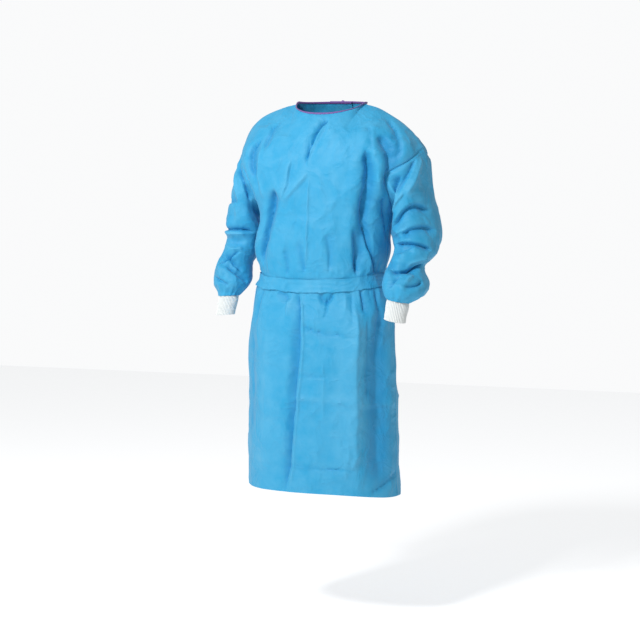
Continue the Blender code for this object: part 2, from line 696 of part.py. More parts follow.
# Fills the hollows between the highest places of a surface, so that a strip spans them.
def even_out(heights):
    level = heights.copy()
    for _ in range(TIE_SMOOTHING):
        padded = np.pad(level, 1, mode="edge")
        mean = (padded[:-2, 1:-1] + padded[2:, 1:-1] + padded[1:-1, :-2] + padded[1:-1, 2:]) / 4.0
        level = np.maximum(heights, mean)
    return level


# A tie's free end: a strip that leaves the knot narrow, widens and hangs down the back.
def make_tail(name, grids, start, width, length, swing, thickness, material):
    shares = np.linspace(0.0, 1.0, TIE_ROWS + 1)[:, None]
    spread = TIE_GATHER + (1.0 - TIE_GATHER) * fade(shares * 2.2)
    middle_x = start[0] + swing * shares ** 0.8
    xs = middle_x + width / 2.0 * spread * np.linspace(-1.0, 1.0, TIE_COLUMNS + 1)
    zs = np.broadcast_to(start[2] - length * shares, xs.shape)
    reach = np.array([back_reach(grids, x, z) for x, z in zip(xs.ravel(), zs.ravel())])
    reach = reach.reshape(xs.shape)
    settle = fade(shares * 3.0)
    rest = reach + (even_out(reach) - reach) * settle + TIE_CLEARANCE + thickness
    ys = np.maximum(start[1] * (1.0 - settle) + rest * settle, rest)
    points = np.stack([xs, ys, zs], axis=2)[::-1, ::-1]
    make_wall(name, points, grid_normals(points), thickness, material)


# Points of a grid with its cells divided evenly.
def divided(grid, parts):
    columns = np.linspace(0.0, grid.shape[1] - 1.0, (grid.shape[1] - 1) * parts + 1)
    dense = np.stack([between_columns(grid, place) for place in columns], axis=1)
    rows = np.linspace(0.0, grid.shape[0] - 1.0, (grid.shape[0] - 1) * parts + 1)
    turned = dense.transpose(1, 0, 2)
    return np.stack([between_columns(turned, place) for place in rows], axis=1)


# The middle of a knot that rests on the points behind it: for each point inside its outline
# the knot's own depth there is b * sqrt(1 - (dx / a)^2 - (dz / c)^2).
def seated(x, z, half_sizes, points):
    inside = 1.0 - ((points[:, 0] - x) / half_sizes[0]) ** 2 - ((points[:, 2] - z) / half_sizes[2]) ** 2
    under = points[(inside > 0.0) & (points[:, 1] > 0.0)]
    depth = half_sizes[1] * np.sqrt(inside[(inside > 0.0) & (points[:, 1] > 0.0)])
    return np.array([x, (under[:, 1] + depth).max() + KNOT_GAP, z])


# The belt's knot with its two ends, and the neck tie, at the middle of the back.
def make_ties(grids, binding, belt):
    ends = np.stack([belt[:, 0], belt[:, -1]])
    belt_points = np.concatenate([divided(belt[:, :4], TIE_DIVISIONS).reshape(-1, 3),
                                  divided(belt[:, -4:], TIE_DIVISIONS).reshape(-1, 3)])
    belt_middle = seated(ends[..., 0].mean(), ends[..., 2].mean(), BELT_KNOT, belt_points)
    make_knot("belt_knot", belt_middle, BELT_KNOT, "gown_cloth")
    for side, mirror in (("left", 1.0), ("right", -1.0)):
        start = belt_middle + np.array([mirror * BELT_KNOT[0] * 0.55, 0.0, -BELT_KNOT[2] - KNOT_GAP])
        make_tail("belt_tail_" + side, grids, start, BELT_TAIL_WIDTH, BELT_TAIL_LENGTHS[side],
                  mirror * BELT_TAIL_SWINGS[side], BELT_THICKNESS, "gown_cloth")
    behind = binding[BACK_NECK_COLUMNS + NECK_COLUMNS:].reshape(-1, 3)
    cloth = divided(grids["left"][-4:, SHOULDER_COLUMNS:], TIE_DIVISIONS).reshape(-1, 3)
    neck_points = np.concatenate([divided(binding[BACK_NECK_COLUMNS + NECK_COLUMNS:],
                                          TIE_DIVISIONS).reshape(-1, 3), cloth])
    nearest = behind[np.argmax(behind[:, 1] - np.abs(behind[:, 0]))]
    neck_middle = seated(0.0, nearest[2], NECK_KNOT, neck_points)
    make_knot("neck_knot", neck_middle, NECK_KNOT, "neck_binding")
    for side, mirror in (("left", 1.0), ("right", -1.0)):
        start = neck_middle + np.array([mirror * NECK_KNOT[0] * 0.4, 0.0, -NECK_KNOT[2] - KNOT_GAP])
        make_tail("neck_tail_" + side, grids, start, NECK_TAIL_WIDTH, NECK_TAIL_LENGTHS[side],
                  mirror * NECK_TAIL_SWING, BELT_THICKNESS, "neck_binding")


def main():
    for thing in list(bpy.data.objects):
        bpy.data.objects.remove(thing)
    grids, normals = body_cloth()
    front_edges = {1.0: 0, -1.0: -1}
    for mirror, side, rings, folds in ((1.0, "left", LEFT_RINGS, LEFT_SLEEVE_FOLDS),
                                       (-1.0, "right", RIGHT_RINGS, RIGHT_SLEEVE_FOLDS)):
        loop = armhole_loop(grids["front"][:, front_edges[mirror]], grids[side][:, 0])
        sleeve, sleeve_normals = sleeve_cloth(loop, rings, mirror, folds)
        join_armhole(normals["front"], front_edges[mirror], normals[side], sleeve_normals)
        draw_back(sleeve, 0, 0)
        make_wall("sleeve_" + side, sleeve, sleeve_normals, WALL, "gown_cloth", True, mirror > 0)
        cuff, cuff_normals = cuff_cloth(rings[-1], mirror, loop_turns(loop))
        make_wall("cuff_" + side, cuff, cuff_normals, CUFF_WALL, "knit_cuff", True, mirror > 0)
    belt, belt_normals = belt_cloth(grids, normals)
    make_wall("belt", belt, belt_normals, BELT_THICKNESS, "gown_cloth", False, True)
    binding = make_binding(grids, normals)
    shoulder = slice(0, SHOULDER_COLUMNS + 1)
    for name in ("front", "left", "right"):
        draw_back(grids[name], 1, 0)
        draw_back_row(grids[name], shoulder)
    draw_back(grids["front"], 1, 1)
    draw_back_row(grids["front"], slice(-SHOULDER_COLUMNS - 1, None))
    make_wall("front_panel", grids["front"], normals["front"], WALL, "gown_cloth", False, True)
    make_wall("back_left", grids["left"], normals["left"], WALL, "gown_cloth")
    make_wall("back_right", grids["right"], normals["right"], WALL, "gown_cloth", False, True)
    make_ties(grids, binding, belt)


main()
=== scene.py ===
import math
from collections import namedtuple

import bpy
import numpy as np
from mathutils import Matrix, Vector


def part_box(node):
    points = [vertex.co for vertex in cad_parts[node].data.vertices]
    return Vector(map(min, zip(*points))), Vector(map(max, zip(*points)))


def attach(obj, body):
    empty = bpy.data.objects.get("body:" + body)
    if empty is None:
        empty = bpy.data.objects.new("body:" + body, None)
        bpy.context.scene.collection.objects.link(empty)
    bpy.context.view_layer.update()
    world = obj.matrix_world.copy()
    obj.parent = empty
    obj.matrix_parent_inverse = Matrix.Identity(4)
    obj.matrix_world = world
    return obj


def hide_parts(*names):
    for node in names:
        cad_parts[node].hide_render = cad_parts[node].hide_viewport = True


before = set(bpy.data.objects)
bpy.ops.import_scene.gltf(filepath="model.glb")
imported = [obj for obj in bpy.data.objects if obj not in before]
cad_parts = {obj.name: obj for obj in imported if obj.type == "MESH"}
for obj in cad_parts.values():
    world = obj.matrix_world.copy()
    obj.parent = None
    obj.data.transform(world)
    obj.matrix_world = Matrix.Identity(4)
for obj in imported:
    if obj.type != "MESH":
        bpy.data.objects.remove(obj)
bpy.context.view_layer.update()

# Isolation gown of sky blue nonwoven, open down the back, wrapped over and tied with its own
# belt. It hangs on nothing: the cloth keeps the form that it takes on a general figure.
# Metres, +Z up, the front towards -Y, the wearer's left towards +X.

perMetre = 1000.0    # millimetres
print("frame loaded")

view = {
    "azimuth": 25.0,      # degrees to the wearer's left of straight ahead
    "pitch": 3.2,         # degrees down
    "distance": 4.8,
    "focalPixels": 1591.0,
    "framePixels": 640.0,
    "sensor": 36.0,       # mm
    "clipEnd": 60.0,
    "aimSide": -0.034,
    "aimHeight": -0.66,
}


# An object of the scene.
def addObject(name, data):
    made = bpy.data.objects.new(name, data)
    bpy.context.scene.collection.objects.link(made)
    return made


# The photo's camera: away from its aim by distance * (sin turn cos pitch, -cos turn cos pitch,
# sin pitch), with the lens that the photo's focal length in pixels gives on the sensor.
def placeCamera(view):
    turn = math.radians(view["azimuth"])
    pitch = math.radians(view["pitch"])
    side = np.array([math.cos(turn), math.sin(turn), 0.0]) * view["aimSide"]
    aim = side + np.array([0.0, 0.0, view["aimHeight"]])
    away = np.array([math.sin(turn) * math.cos(pitch), -math.cos(turn) * math.cos(pitch),
                     math.sin(pitch)])
    data = bpy.data.cameras.new("camera")
    data.sensor_width = view["sensor"]
    data.lens = view["focalPixels"] / view["framePixels"] * view["sensor"]
    data.clip_end = view["clipEnd"]
    data.dof.use_dof = False
    camera = addObject("camera", data)
    camera.location = aim + away * view["distance"]
    camera.rotation_euler = (math.radians(90.0) - pitch, 0.0, turn)
    bpy.context.scene.camera = camera


placeCamera(view)


tiny = 1e-12    # keeps a division from failing


# Vectors divided by their lengths.
def unit(vectors):
    return vectors / np.maximum(np.linalg.norm(vectors, axis=-1, keepdims=True), tiny)


# Smooth step of a share between 0 and 1: t * t * (3 - 2 t).
def fade(values):
    clipped = np.clip(values, 0.0, 1.0)
    return clipped * clipped * (3.0 - 2.0 * clipped)


# A share that fades in and out over `tip` at the two ends of a line.
def bothEnds(along, tip):
    return fade(along / tip) * fade((1.0 - along) / tip)


# Natural cubic spline through the rows of `values` placed at `knots`, read at `at`: inside each
# span it is the straight mix of its two rows plus the two rows' bends times the cubic terms.
def spline(knots, values, at):
    gaps = np.diff(knots)
    count = len(knots)
    slopes = np.diff(values, axis=0) / gaps.reshape((-1,) + (1,) * (values.ndim - 1))
    system = np.diag(np.concatenate([[1.0], 2.0 * (gaps[:-1] + gaps[1:]), [1.0]]))
    inner = np.arange(1, count - 1)
    system[inner, inner - 1] = gaps[:-1]
    system[inner, inner + 1] = gaps[1:]
    right = np.zeros_like(values)
    right[1:-1] = 6.0 * np.diff(slopes, axis=0)
    bend = np.linalg.solve(system, right.reshape(count, -1)).reshape(values.shape)
    span = np.clip(np.searchsorted(knots, at, side="right") - 1, 0, count - 2)
    shape = (-1,) + (1,) * (values.ndim - 1)
    low = ((knots[span + 1] - at) / gaps[span]).reshape(shape)
    high = 1.0 - low
    cubic = (low ** 3 - low) * bend[span] + (high ** 3 - high) * bend[span + 1]
    return low * values[span] + high * values[span + 1] + cubic * gaps[span].reshape(shape) ** 2 / 6.0


# Lengths along a line up to each of its points.
def runLengths(points):
    return np.concatenate([[0.0], np.cumsum(np.linalg.norm(np.diff(points, axis=0), axis=-1))])


# Mean lengths of a grid's columns up to each of its rows.
def rowKnots(rows):
    return np.concatenate([[0.0], np.cumsum(np.linalg.norm(np.diff(rows, axis=0), axis=2).mean(axis=1))])


# Places of all rows: `first`, then even steps from knot to knot, as many as each key says.
def rowPlaces(first, knots, keys, rowsPerStep):
    places = [first]
    for low, high, key in zip(knots[:-1], knots[1:], keys):
        places.append(np.linspace(low, high, key.steps * rowsPerStep + 1)[1:])
    return np.concatenate(places)


# Points at the given fractions of a line's length.
def resample(points, fractions):
    lengths = runLengths(points)
    wanted = np.asarray(fractions) * lengths[-1]
    return np.stack([np.interp(wanted, lengths, points[:, axis]) for axis in range(3)], axis=1)


latticeCells = 32    # cells after which the noise repeats


# Smooth random value between -1 and 1 in space: seeded values on a lattice `size` apart,
# blended between its eight corners with smooth steps.
def wander(points, size, seed):
    lattice = np.random.default_rng(seed).uniform(-1.0, 1.0, (latticeCells,) * 3)
    place = points / np.asarray(size) + 3.0 * latticeCells    # kept above zero
    cell = np.floor(place).astype(int)
    share = fade(place - cell)
    total = np.zeros(points.shape[:-1])
    for corner in range(8):
        step = np.array([corner & 1, corner >> 1 & 1, corner >> 2 & 1])
        weight = np.prod(np.where(step == 1, share, 1.0 - share), axis=-1)
        index = (cell + step) % latticeCells
        total += weight * lattice[index[..., 0], index[..., 1], index[..., 2]]
    return total


# Unit normals of a grid: the cross product of its column and row directions.
def gridNormals(points, closed=False):
    if closed:
        across = np.roll(points, -1, axis=1) - np.roll(points, 1, axis=1)
    else:
        across = np.gradient(points, axis=1)
    return unit(np.cross(across, np.gradient(points, axis=0)))


creaseForm = {
    "steps": 14,                               # straight parts of the line
    "roundFrom": 1.5, "roundReach": 2.6, "edgedReach": 4.5,    # widths after which it is nothing
    "soft": 0.0010,                            # rounding of its edge, in metres
}


# Height of one crease on cloth laid out as (u, v). Its line is the parabola through three
# places. Across it the height is rise * exp(-(s / w) ** sharp), where s is the distance, and w
# is the width, made wider on the side of growing u and narrower on the other one by lean, and
# growing along the line by flare. It fades to nothing at both ends.
def creaseHeight(u, v, places, width, rise, lean, sharp, flare=0.0, tip=0.2):
    start, middle, end = (np.array(place) for place in places)
    bend = 2.0 * middle - (start + end) / 2.0
    steps = creaseForm["steps"]
    t = np.linspace(0.0, 1.0, steps + 1)[:, None]
    line = (1.0 - t) ** 2 * start + 2.0 * t * (1.0 - t) * bend + t ** 2 * end
    widths = creaseForm["roundReach"] if sharp > creaseForm["roundFrom"] else creaseForm["edgedReach"]
    reach = width * (1.0 + abs(lean)) * (1.0 + abs(flare)) * widths
    low = line.min(axis=0) - reach
    high = line.max(axis=0) + reach
    near = (u > low[0]) & (u < high[0]) & (v > low[1]) & (v < high[1])
    height = np.zeros(u.shape)
    if not near.any():
        return height
    at = np.stack([u[near], v[near]], axis=-1)
    run = np.diff(line, axis=0)
    offset = at[:, None] - line[None, :-1]
    share = np.clip((offset * run).sum(axis=-1) / (run * run).sum(axis=-1), 0.0, 1.0)
    distance = np.linalg.norm(offset - share[..., None] * run, axis=-1)
    closest = distance.argmin(axis=1)
    pick = (np.arange(len(at)), closest)
    cross = run[closest, 0] * offset[pick][:, 1] - run[closest, 1] * offset[pick][:, 0]
    along = (closest + share[pick]) / steps
    soft = creaseForm["soft"]
    s = np.sqrt(distance[pick] ** 2 + soft ** 2) - soft
    wide = width * (1.0 + lean * np.sign(cross)) * (1.0 + flare * (2.0 * along - 1.0))
    height[near] = rise * np.exp(-(s / wide) ** sharp) * bothEnds(along, tip)
    return height


# An sRGB hex code as a linear colour: ((v + 0.055) / 1.055) ** 2.4, or v / 12.92 near black.
def linear(code):
    value = np.array([int(code[i:i + 2], 16) / 255.0 for i in (1, 3, 5)])
    out = np.where(value <= 0.04045, value / 12.92, ((value + 0.055) / 1.055) ** 2.4)
    return (*[float(channel) for channel in out], 1.0)


# Cells of a grid as corner places (row, column), counted the way that points them outwards.
def cellCorners(rows, columns, closed):
    span = columns if closed else columns - 1
    row, column = np.meshgrid(np.arange(rows - 1), np.arange(span), indexing="ij")
    steps = ((0, 0), (0, 1), (1, 1), (1, 0))
    return np.stack([np.stack([row + a, column + b], axis=-1) for a, b in steps], axis=2).reshape(-1, 4, 2)


# The folds' depth at a mesh's vertices, in millimetres, which the materials read: they paint
# shade from it in the folds' troughs and between the cuff's ribs, and make the gown's ridges paler.
def addDepth(mesh, depths):
    layer = mesh.attributes.new("foldDepth", "FLOAT", "POINT")
    layer.data.foreach_set("value", (depths * perMetre).astype(np.float32))


# A smooth mesh from lists of points and faces.
def smoothMesh(name, vertices, faces):
    mesh = bpy.data.meshes.new(name)
    mesh.from_pydata(vertices.tolist(), [], faces)
    mesh.update()
    mesh.validate()
    mesh.shade_smooth()
    return mesh


sharpAngle = math.radians(60.0)


# A closed thin shell of cloth: the outer grid, the inner grid a thickness below it along the
# normals, and the rims. It gets a UV map in metres of cloth and its folds' depth in millimetres.
def addShell(name, outer, normals, thickness, material, closed=False, flip=False, depth=None):
    if flip:
        outer = outer[:, ::-1]
        normals = normals[:, ::-1]
        depth = None if depth is None else depth[:, ::-1]
    rows, columns = outer.shape[:2]
    inner = outer - normals * thickness
    cells = cellCorners(rows, columns, closed)
    front = np.concatenate([np.zeros((*cells.shape[:2], 1), int), cells], axis=-1)
    back = np.concatenate([np.ones((*cells.shape[:2], 1), int), cells[:, ::-1]], axis=-1)
    faces = [front, back]
    span = np.arange(columns if closed else columns - 1)
    for row, backward in ((0, False), (rows - 1, True)):
        here = np.full_like(span, row)
        rim = np.stack([np.stack([layer + 0 * span, here, span + step], axis=-1)
                        for layer, step in ((0, 1), (0, 0), (1, 0), (1, 1))], axis=1)
        faces.append(rim[:, ::-1] if backward else rim)
    if not closed:
        climb = np.arange(rows - 1)
        for column, backward in ((0, False), (columns - 1, True)):
            here = np.full_like(climb, column)
            rim = np.stack([np.stack([layer + 0 * climb, climb + step, here], axis=-1)
                            for layer, step in ((0, 0), (0, 1), (1, 1), (1, 0))], axis=1)
            faces.append(rim[:, ::-1] if backward else rim)
    corners = np.concatenate(faces)
    index = corners[..., 0] * rows * columns + corners[..., 1] * columns + corners[..., 2] % columns
    vertices = np.concatenate([outer.reshape(-1, 3), inner.reshape(-1, 3)])
    around = np.concatenate([outer, outer[:, :1]], axis=1) if closed else outer
    across = runLengths(np.moveaxis(around, 1, 0).reshape(around.shape[1], -1)) / math.sqrt(rows)
    along = runLengths(outer.reshape(rows, -1)) / math.sqrt(columns)
    uv = np.stack([across[corners[..., 2]], along[corners[..., 1]]], axis=-1)
    mesh = bpy.data.meshes.new(name)
    mesh.vertices.add(len(vertices))
    mesh.vertices.foreach_set("co", vertices.ravel())
    mesh.loops.add(index.size)
    mesh.loops.foreach_set("vertex_index", index.ravel())
    mesh.polygons.add(len(index))
    mesh.polygons.foreach_set("loop_start", np.arange(len(index)) * 4)
    mesh.update(calc_edges=True)
    mesh.validate()
    mesh.uv_layers.new(name="cloth").data.foreach_set("uv", uv.ravel().astype(np.float32))
    if depth is not None:
        addDepth(mesh, np.tile(depth.ravel(), 2))
    mesh.shade_smooth()
    mesh.set_sharp_from_angle(angle=sharpAngle)
    return addPiece(name, mesh, material)


# A piece of the object: its mesh in the scene, riding on the root.
def addPiece(name, mesh, material):
    mesh.materials.append(material)
    piece = addObject(name, mesh)
    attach(piece, "root")
    return piece


# A shader node whose inputs are values or other nodes' sockets.
def addNode(tree, kind, inputs, **settings):
    made = tree.nodes.new(kind)
    for key, value in settings.items():
        setattr(made, key, value)
    for key, value in inputs.items():
        if isinstance(value, bpy.types.NodeSocket):
            tree.links.new(value, made.inputs[key])
        else:
            made.inputs[key].default_value = value
    return made


finishSockets = {"Roughness": "roughness", "IOR": "ior", "Specular IOR Level": "specular",
                 "Sheen Weight": "sheen", "Sheen Roughness": "sheenRoughness"}


# A material, its node tree and its shader, with those sockets set that its finish names.
def newMaterial(name, finish):
    material = bpy.data.materials.new(name)
    material.use_nodes = True
    tree = material.node_tree
    shader = tree.nodes["Principled BSDF"]
    for socket, key in finishSockets.items():
        if key in finish:
            shader.inputs[socket].default_value = finish[key]
    return material, tree, shader


# A share that is 0 where the value is `start` and grows to `top` where it is `end`.
def spread(tree, value, start, end, top):
    made = addNode(tree, "ShaderNodeMapRange", {"Value": value, "From Min": start, "From Max": end,
                                                "To Min": 0.0, "To Max": top})
    return made.outputs["Result"]


# Colour first * (1 - share) + second * share.
def blend(tree, share, first, second):
    made = addNode(tree, "ShaderNodeMix", {"Factor": share, "A": first, "B": second}, data_type="RGBA")
    return made.outputs["Result"]


# Normals tilted by a height field, on top of those of the relief under it.
def addBump(tree, height, strength, distance, under=None):
    inputs = {"Height": height, "Strength": strength, "Distance": distance}
    if under is not None:
        inputs["Normal"] = under
    return addNode(tree, "ShaderNodeBump", inputs).outputs["Normal"]


# SMS nonwoven, which is spunbonded and meltblown polypropylene fibre pressed together with
# rows of small welded points: matt with a faint waxy gloss, clouded where the fibre lies thick
# or thin, and paler along pressed creases. Painted shade turns the troughs of its folds a
# deeper blue.
gownFinish = {
    # deep is the colour of the painted shade in the troughs of the folds
    "colour": "#259bcb", "deep": "#0580bb", "pale": "#84cbe8", "sheenTint": "#dff2fc",
    "roughness": 0.60, "sheen": 0.15, "sheenRoughness": 0.45, "ior": 1.49, "specular": 0.4,
    # The troughs' painted shade: fold depths in mm where it starts and where it is full, and its share
    "troughFrom": -1.0, "troughTo": -12.0, "troughShadeShare": 0.55,    # fold depth in mm, and share
    "ridgeFrom": 0.5, "ridgeTo": 4.0, "ridgeTint": 0.10,
    "cloudSize": 0.045, "cloudLow": 0.3, "cloudHigh": 0.7, "cloudTint": 0.16,
    "pointPitch": 0.0034,    # real ones are 1.6 mm apart, drawn coarser so that they show
    "pointInner": 0.16, "pointOuter": 0.38, "pointUneven": 0.12,
    "pointStrength": 0.25, "pointDepth": 0.0003,
    "fibreSize": 0.0022, "fibreStrength": 0.18, "fibreDepth": 0.0004,
    "crumpleSize": 0.075, "crumpleStrength": 0.42, "crumpleDepth": 0.006,
}


def makeGownCloth(finish):
    material, tree, shader = newMaterial("smsNonwoven", finish)
    shader.inputs["Sheen Tint"].default_value = linear(finish["sheenTint"])
    place = addNode(tree, "ShaderNodeTexCoord", {})
    flat = place.outputs["UV"]
    body = place.outputs["Object"]
    depth = addNode(tree, "ShaderNodeAttribute", {}, attribute_name="foldDepth").outputs["Fac"]
    # Painted shade: the colour turns to the deeper blue where the fold relief lies deep
    troughShade = spread(tree, depth, finish["troughFrom"], finish["troughTo"], finish["troughShadeShare"])
    onRidge = spread(tree, depth, finish["ridgeFrom"], finish["ridgeTo"], finish["ridgeTint"])
    cloud = addNode(tree, "ShaderNodeTexNoise", {"Vector": body, "Scale": 1.0 / finish["cloudSize"],
                                                 "Detail": 3.0, "Roughness": 0.6})
    clouding = spread(tree, cloud.outputs["Fac"], finish["cloudLow"], finish["cloudHigh"],
                      finish["cloudTint"])
    base = blend(tree, clouding, linear(finish["colour"]), linear(finish["pale"]))
    shaded = blend(tree, troughShade, base, linear(finish["deep"]))
    pressed = blend(tree, onRidge, shaded, linear(finish["pale"]))
    tree.links.new(pressed, shader.inputs["Base Color"])
    points = addNode(tree, "ShaderNodeTexVoronoi",
                     {"Vector": flat, "Scale": 1.0 / finish["pointPitch"],
                      "Randomness": finish["pointUneven"]}, voronoi_dimensions="2D")
    dots = spread(tree, points.outputs["Distance"], finish["pointInner"], finish["pointOuter"], 1.0)
    fibre = addNode(tree, "ShaderNodeTexNoise", {"Vector": body, "Scale": 1.0 / finish["fibreSize"],
                                                 "Detail": 2.0, "Roughness": 0.7})
    crumple = addNode(tree, "ShaderNodeTexNoise",
                      {"Vector": body, "Scale": 1.0 / finish["crumpleSize"], "Detail": 4.0,
                       "Roughness": 0.5, "Lacunarity": 2.1, "Offset": 0.9, "Gain": 1.6,
                       "Distortion": 0.5}, noise_type="RIDGED_MULTIFRACTAL")
    relief = addBump(tree, crumple.outputs["Fac"], finish["crumpleStrength"], finish["crumpleDepth"])
    relief = addBump(tree, fibre.outputs["Fac"], finish["fibreStrength"], finish["fibreDepth"], relief)
    relief = addBump(tree, dots, finish["pointStrength"], finish["pointDepth"], relief)
    tree.links.new(relief, shader.inputs["Normal"])
    return material


# Bias strip of dyed nonwoven, folded over the neck edge: matt violet with fine cross lines.
bindingFinish = {
    "colour": "#7f5ba6", "shade": "#684690", "roughness": 0.6, "ior": 1.49, "sheen": 0.3,
    "sheenRoughness": 0.5, "toneScale": 90.0, "lines": 0.0016, "strength": 0.25, "depth": 0.0004,
}


def makeBinding(finish):
    material, tree, shader = newMaterial("violetBiasStrip", finish)
    body = addNode(tree, "ShaderNodeTexCoord", {}).outputs["Object"]
    tone = addNode(tree, "ShaderNodeTexNoise", {"Vector": body, "Scale": finish["toneScale"],
                                                "Detail": 2.0})
    colour = blend(tree, tone.outputs["Fac"], linear(finish["colour"]), linear(finish["shade"]))
    tree.links.new(colour, shader.inputs["Base Color"])
    grain = addNode(tree, "ShaderNodeTexNoise", {"Vector": body, "Scale": 1.0 / finish["lines"],
                                                 "Detail": 1.0})
    relief = addBump(tree, grain.outputs["Fac"], finish["strength"], finish["depth"])
    tree.links.new(relief, shader.inputs["Normal"])
    return material


# Polyester and cotton rib knit, undyed: dull and soft, with shade between its ribs.
cuffFinish = {
    "colour": "#e9ecea", "shade": "#bcc4c6", "roughness": 0.9, "ior": 1.5, "sheen": 0.5,
    "sheenRoughness": 0.6, "shadeFrom": 0.2, "shadeTo": -0.6, "shadeShare": 0.9,
    "loop": 0.0016, "uneven": 0.2, "strength": 0.5, "depth": 0.0005,
}


def makeKnit(finish):
    material, tree, shader = newMaterial("whiteRibKnit", finish)
    place = addNode(tree, "ShaderNodeTexCoord", {})
    depth = addNode(tree, "ShaderNodeAttribute", {}, attribute_name="foldDepth").outputs["Fac"]
    between = spread(tree, depth, finish["shadeFrom"], finish["shadeTo"], finish["shadeShare"])
    colour = blend(tree, between, linear(finish["colour"]), linear(finish["shade"]))
    tree.links.new(colour, shader.inputs["Base Color"])
    loops = addNode(tree, "ShaderNodeTexVoronoi",
                    {"Vector": place.outputs["UV"], "Scale": 1.0 / finish["loop"],
                     "Randomness": finish["uneven"]}, voronoi_dimensions="2D")
    relief = addBump(tree, loops.outputs["Distance"], finish["strength"], finish["depth"])
    tree.links.new(relief, shader.inputs["Normal"])
    return material


# Spun polyester sewing thread, a shade darker than what it sews, with light on its twist.
threadFinish = {
    "body": "#2f8fc6", "neck": "#5f3f88", "light": "#6fb6dc", "roughness": 0.55, "ior": 1.5,
    "sheen": 0.3, "twistScale": 900.0,
}


def makeThread(name, colour, finish):
    material, tree, shader = newMaterial(name, finish)
    body = addNode(tree, "ShaderNodeTexCoord", {}).outputs["Object"]
    twist = addNode(tree, "ShaderNodeTexNoise", {"Vector": body, "Scale": finish["twistScale"]})
    tone = blend(tree, twist.outputs["Fac"], linear(colour), linear(finish["light"]))
    tree.links.new(tone, shader.inputs["Base Color"])
    return material


gownCloth = makeGownCloth(gownFinish)
bindingCloth = makeBinding(bindingFinish)
ribKnit = makeKnit(cuffFinish)
bodyThread = makeThread("polyesterThreadBlue", threadFinish["body"], threadFinish)
neckThread = makeThread("polyesterThreadViolet", threadFinish["neck"], threadFinish)
print("materials made")

# A body section: heights at the front, left, right and back, its middle, half width and depths,
# the power of its form, and the grid steps to the next one. An armhole level: the places of its
# edge and of its middle.
bodySection = namedtuple(
    "bodySection", "name zFront zLeft zRight zBack midX midY halfWidth front back power steps")
armholeLevel = namedtuple("armholeLevel", "name edgeX edgeY edgeZ middleY middleZ power steps")

bodyShape = {
    "rowsPerStep": 6,
    "columnsPerStep": 8,
    "neckHalfWidth": 0.108, "neckPointZ": -0.011, "neckTilt": -0.004,
    "neckFront": -0.088, "neckBack": 0.078, "neckFrontDrop": 0.038, "neckBackRise": 0.006,
    "neckOverlap": 0.045, "hemOverlap": 0.120, "layerLift": 0.0018, "layerRamp": 0.04,
    "foldRadius": 0.20,
    "shoulderColumns": 10, "neckColumns": 12, "backNeckColumns": 7, "shoulderShare": 0.36,
    "thickness": 0.0005,
    "axisX": -0.015, "axisY": -0.020,    # where bearings are taken from
    "curvePoints": 361, "neckPoints": 181, "seamPoints": 61,
    "sideBow": 1.5, "neckFlat": 0.9, "neckDip": 1.1,
    "backWidth": 0.62, "backTopWidth": 0.66,    # shares of a back row from side to middle
    "matchSteps": 4,         # column steps over which the side edges are brought together
    "foldTip": 0.22,         # share of a main fold that fades at each end
    "creaseStrength": 1.9,
    # the colour that this depth gives is painted shade in the troughs and paler ridges
    "foldTint": 0.45,        # share of the main folds in the depth that colours the cloth
    "seamCalm": 0.85, "seamCalmReach": 0.014,    # how flat the sewing holds the top row
    "drifts": [(0.0035, 0.045, (3, 4)), (0.002, 0.02, (5, 6))],    # height, size and seeds
    "sections": [bodySection(*row) for row in (
        ("hem", -1.156, -1.176, -1.152, -1.184, -0.012, -0.020, 0.233, 0.180, 0.165, 2.3, 4),
        ("shin", -0.980, -0.985, -0.980, -0.990, -0.014, -0.020, 0.229, 0.178, 0.160, 2.3, 4),
        ("knee", -0.780, -0.780, -0.780, -0.780, -0.016, -0.020, 0.227, 0.172, 0.152, 2.3, 3),
        ("hip", -0.650, -0.645, -0.645, -0.650, -0.017, -0.020, 0.224, 0.164, 0.146, 2.3, 2),
        ("belt foot", -0.571, -0.553, -0.552, -0.556, -0.016, -0.022, 0.205, 0.142, 0.128, 2.3, 2),
        ("belt top", -0.533, -0.517, -0.514, -0.518, -0.014, -0.023, 0.192, 0.137, 0.122, 2.3, 2),
        ("blouse", -0.470, -0.465, -0.465, -0.465, -0.018, -0.022, 0.206, 0.142, 0.128, 2.3, 2),
        ("midriff", -0.400, -0.400, -0.400, -0.400, -0.012, -0.020, 0.205, 0.144, 0.134, 2.4, 2),
        ("underarm", -0.335, -0.340, -0.340, -0.340, -0.004, -0.014, 0.208, 0.146, 0.136, 2.5, 2),
    )],
    "frontLevels": [armholeLevel(*row) for row in (
        ("low front", 0.215, -0.066, -0.292, -0.158, -0.272, 2.4, 2),
        ("mid front", 0.232, -0.090, -0.236, -0.150, -0.200, 2.3, 2),
        ("high front", 0.270, -0.055, -0.186, -0.128, -0.120, 2.2, 3),
    )],
    "backLevels": [armholeLevel(*row) for row in (
        ("low back", 0.218, 0.062, -0.292, 0.122, -0.272, 2.4, 2),
        ("mid back", 0.240, 0.090, -0.236, 0.126, -0.190, 2.3, 2),
        ("high back", 0.276, 0.070, -0.186, 0.112, -0.100, 2.2, 3),
    )],
    "shoulderLeft": [(0.108, 0.000, -0.015), (0.150, 0.000, -0.027), (0.190, 0.000, -0.048),
                     (0.236, 0.002, -0.080), (0.268, 0.006, -0.112), (0.294, 0.010, -0.150)],
    "shoulderRight": [(-0.108, 0.000, -0.007), (-0.186, 0.002, -0.025), (-0.242, 0.004, -0.050),
                      (-0.270, 0.008, -0.073), (-0.290, 0.010, -0.105), (-0.304, 0.012, -0.142)],
}

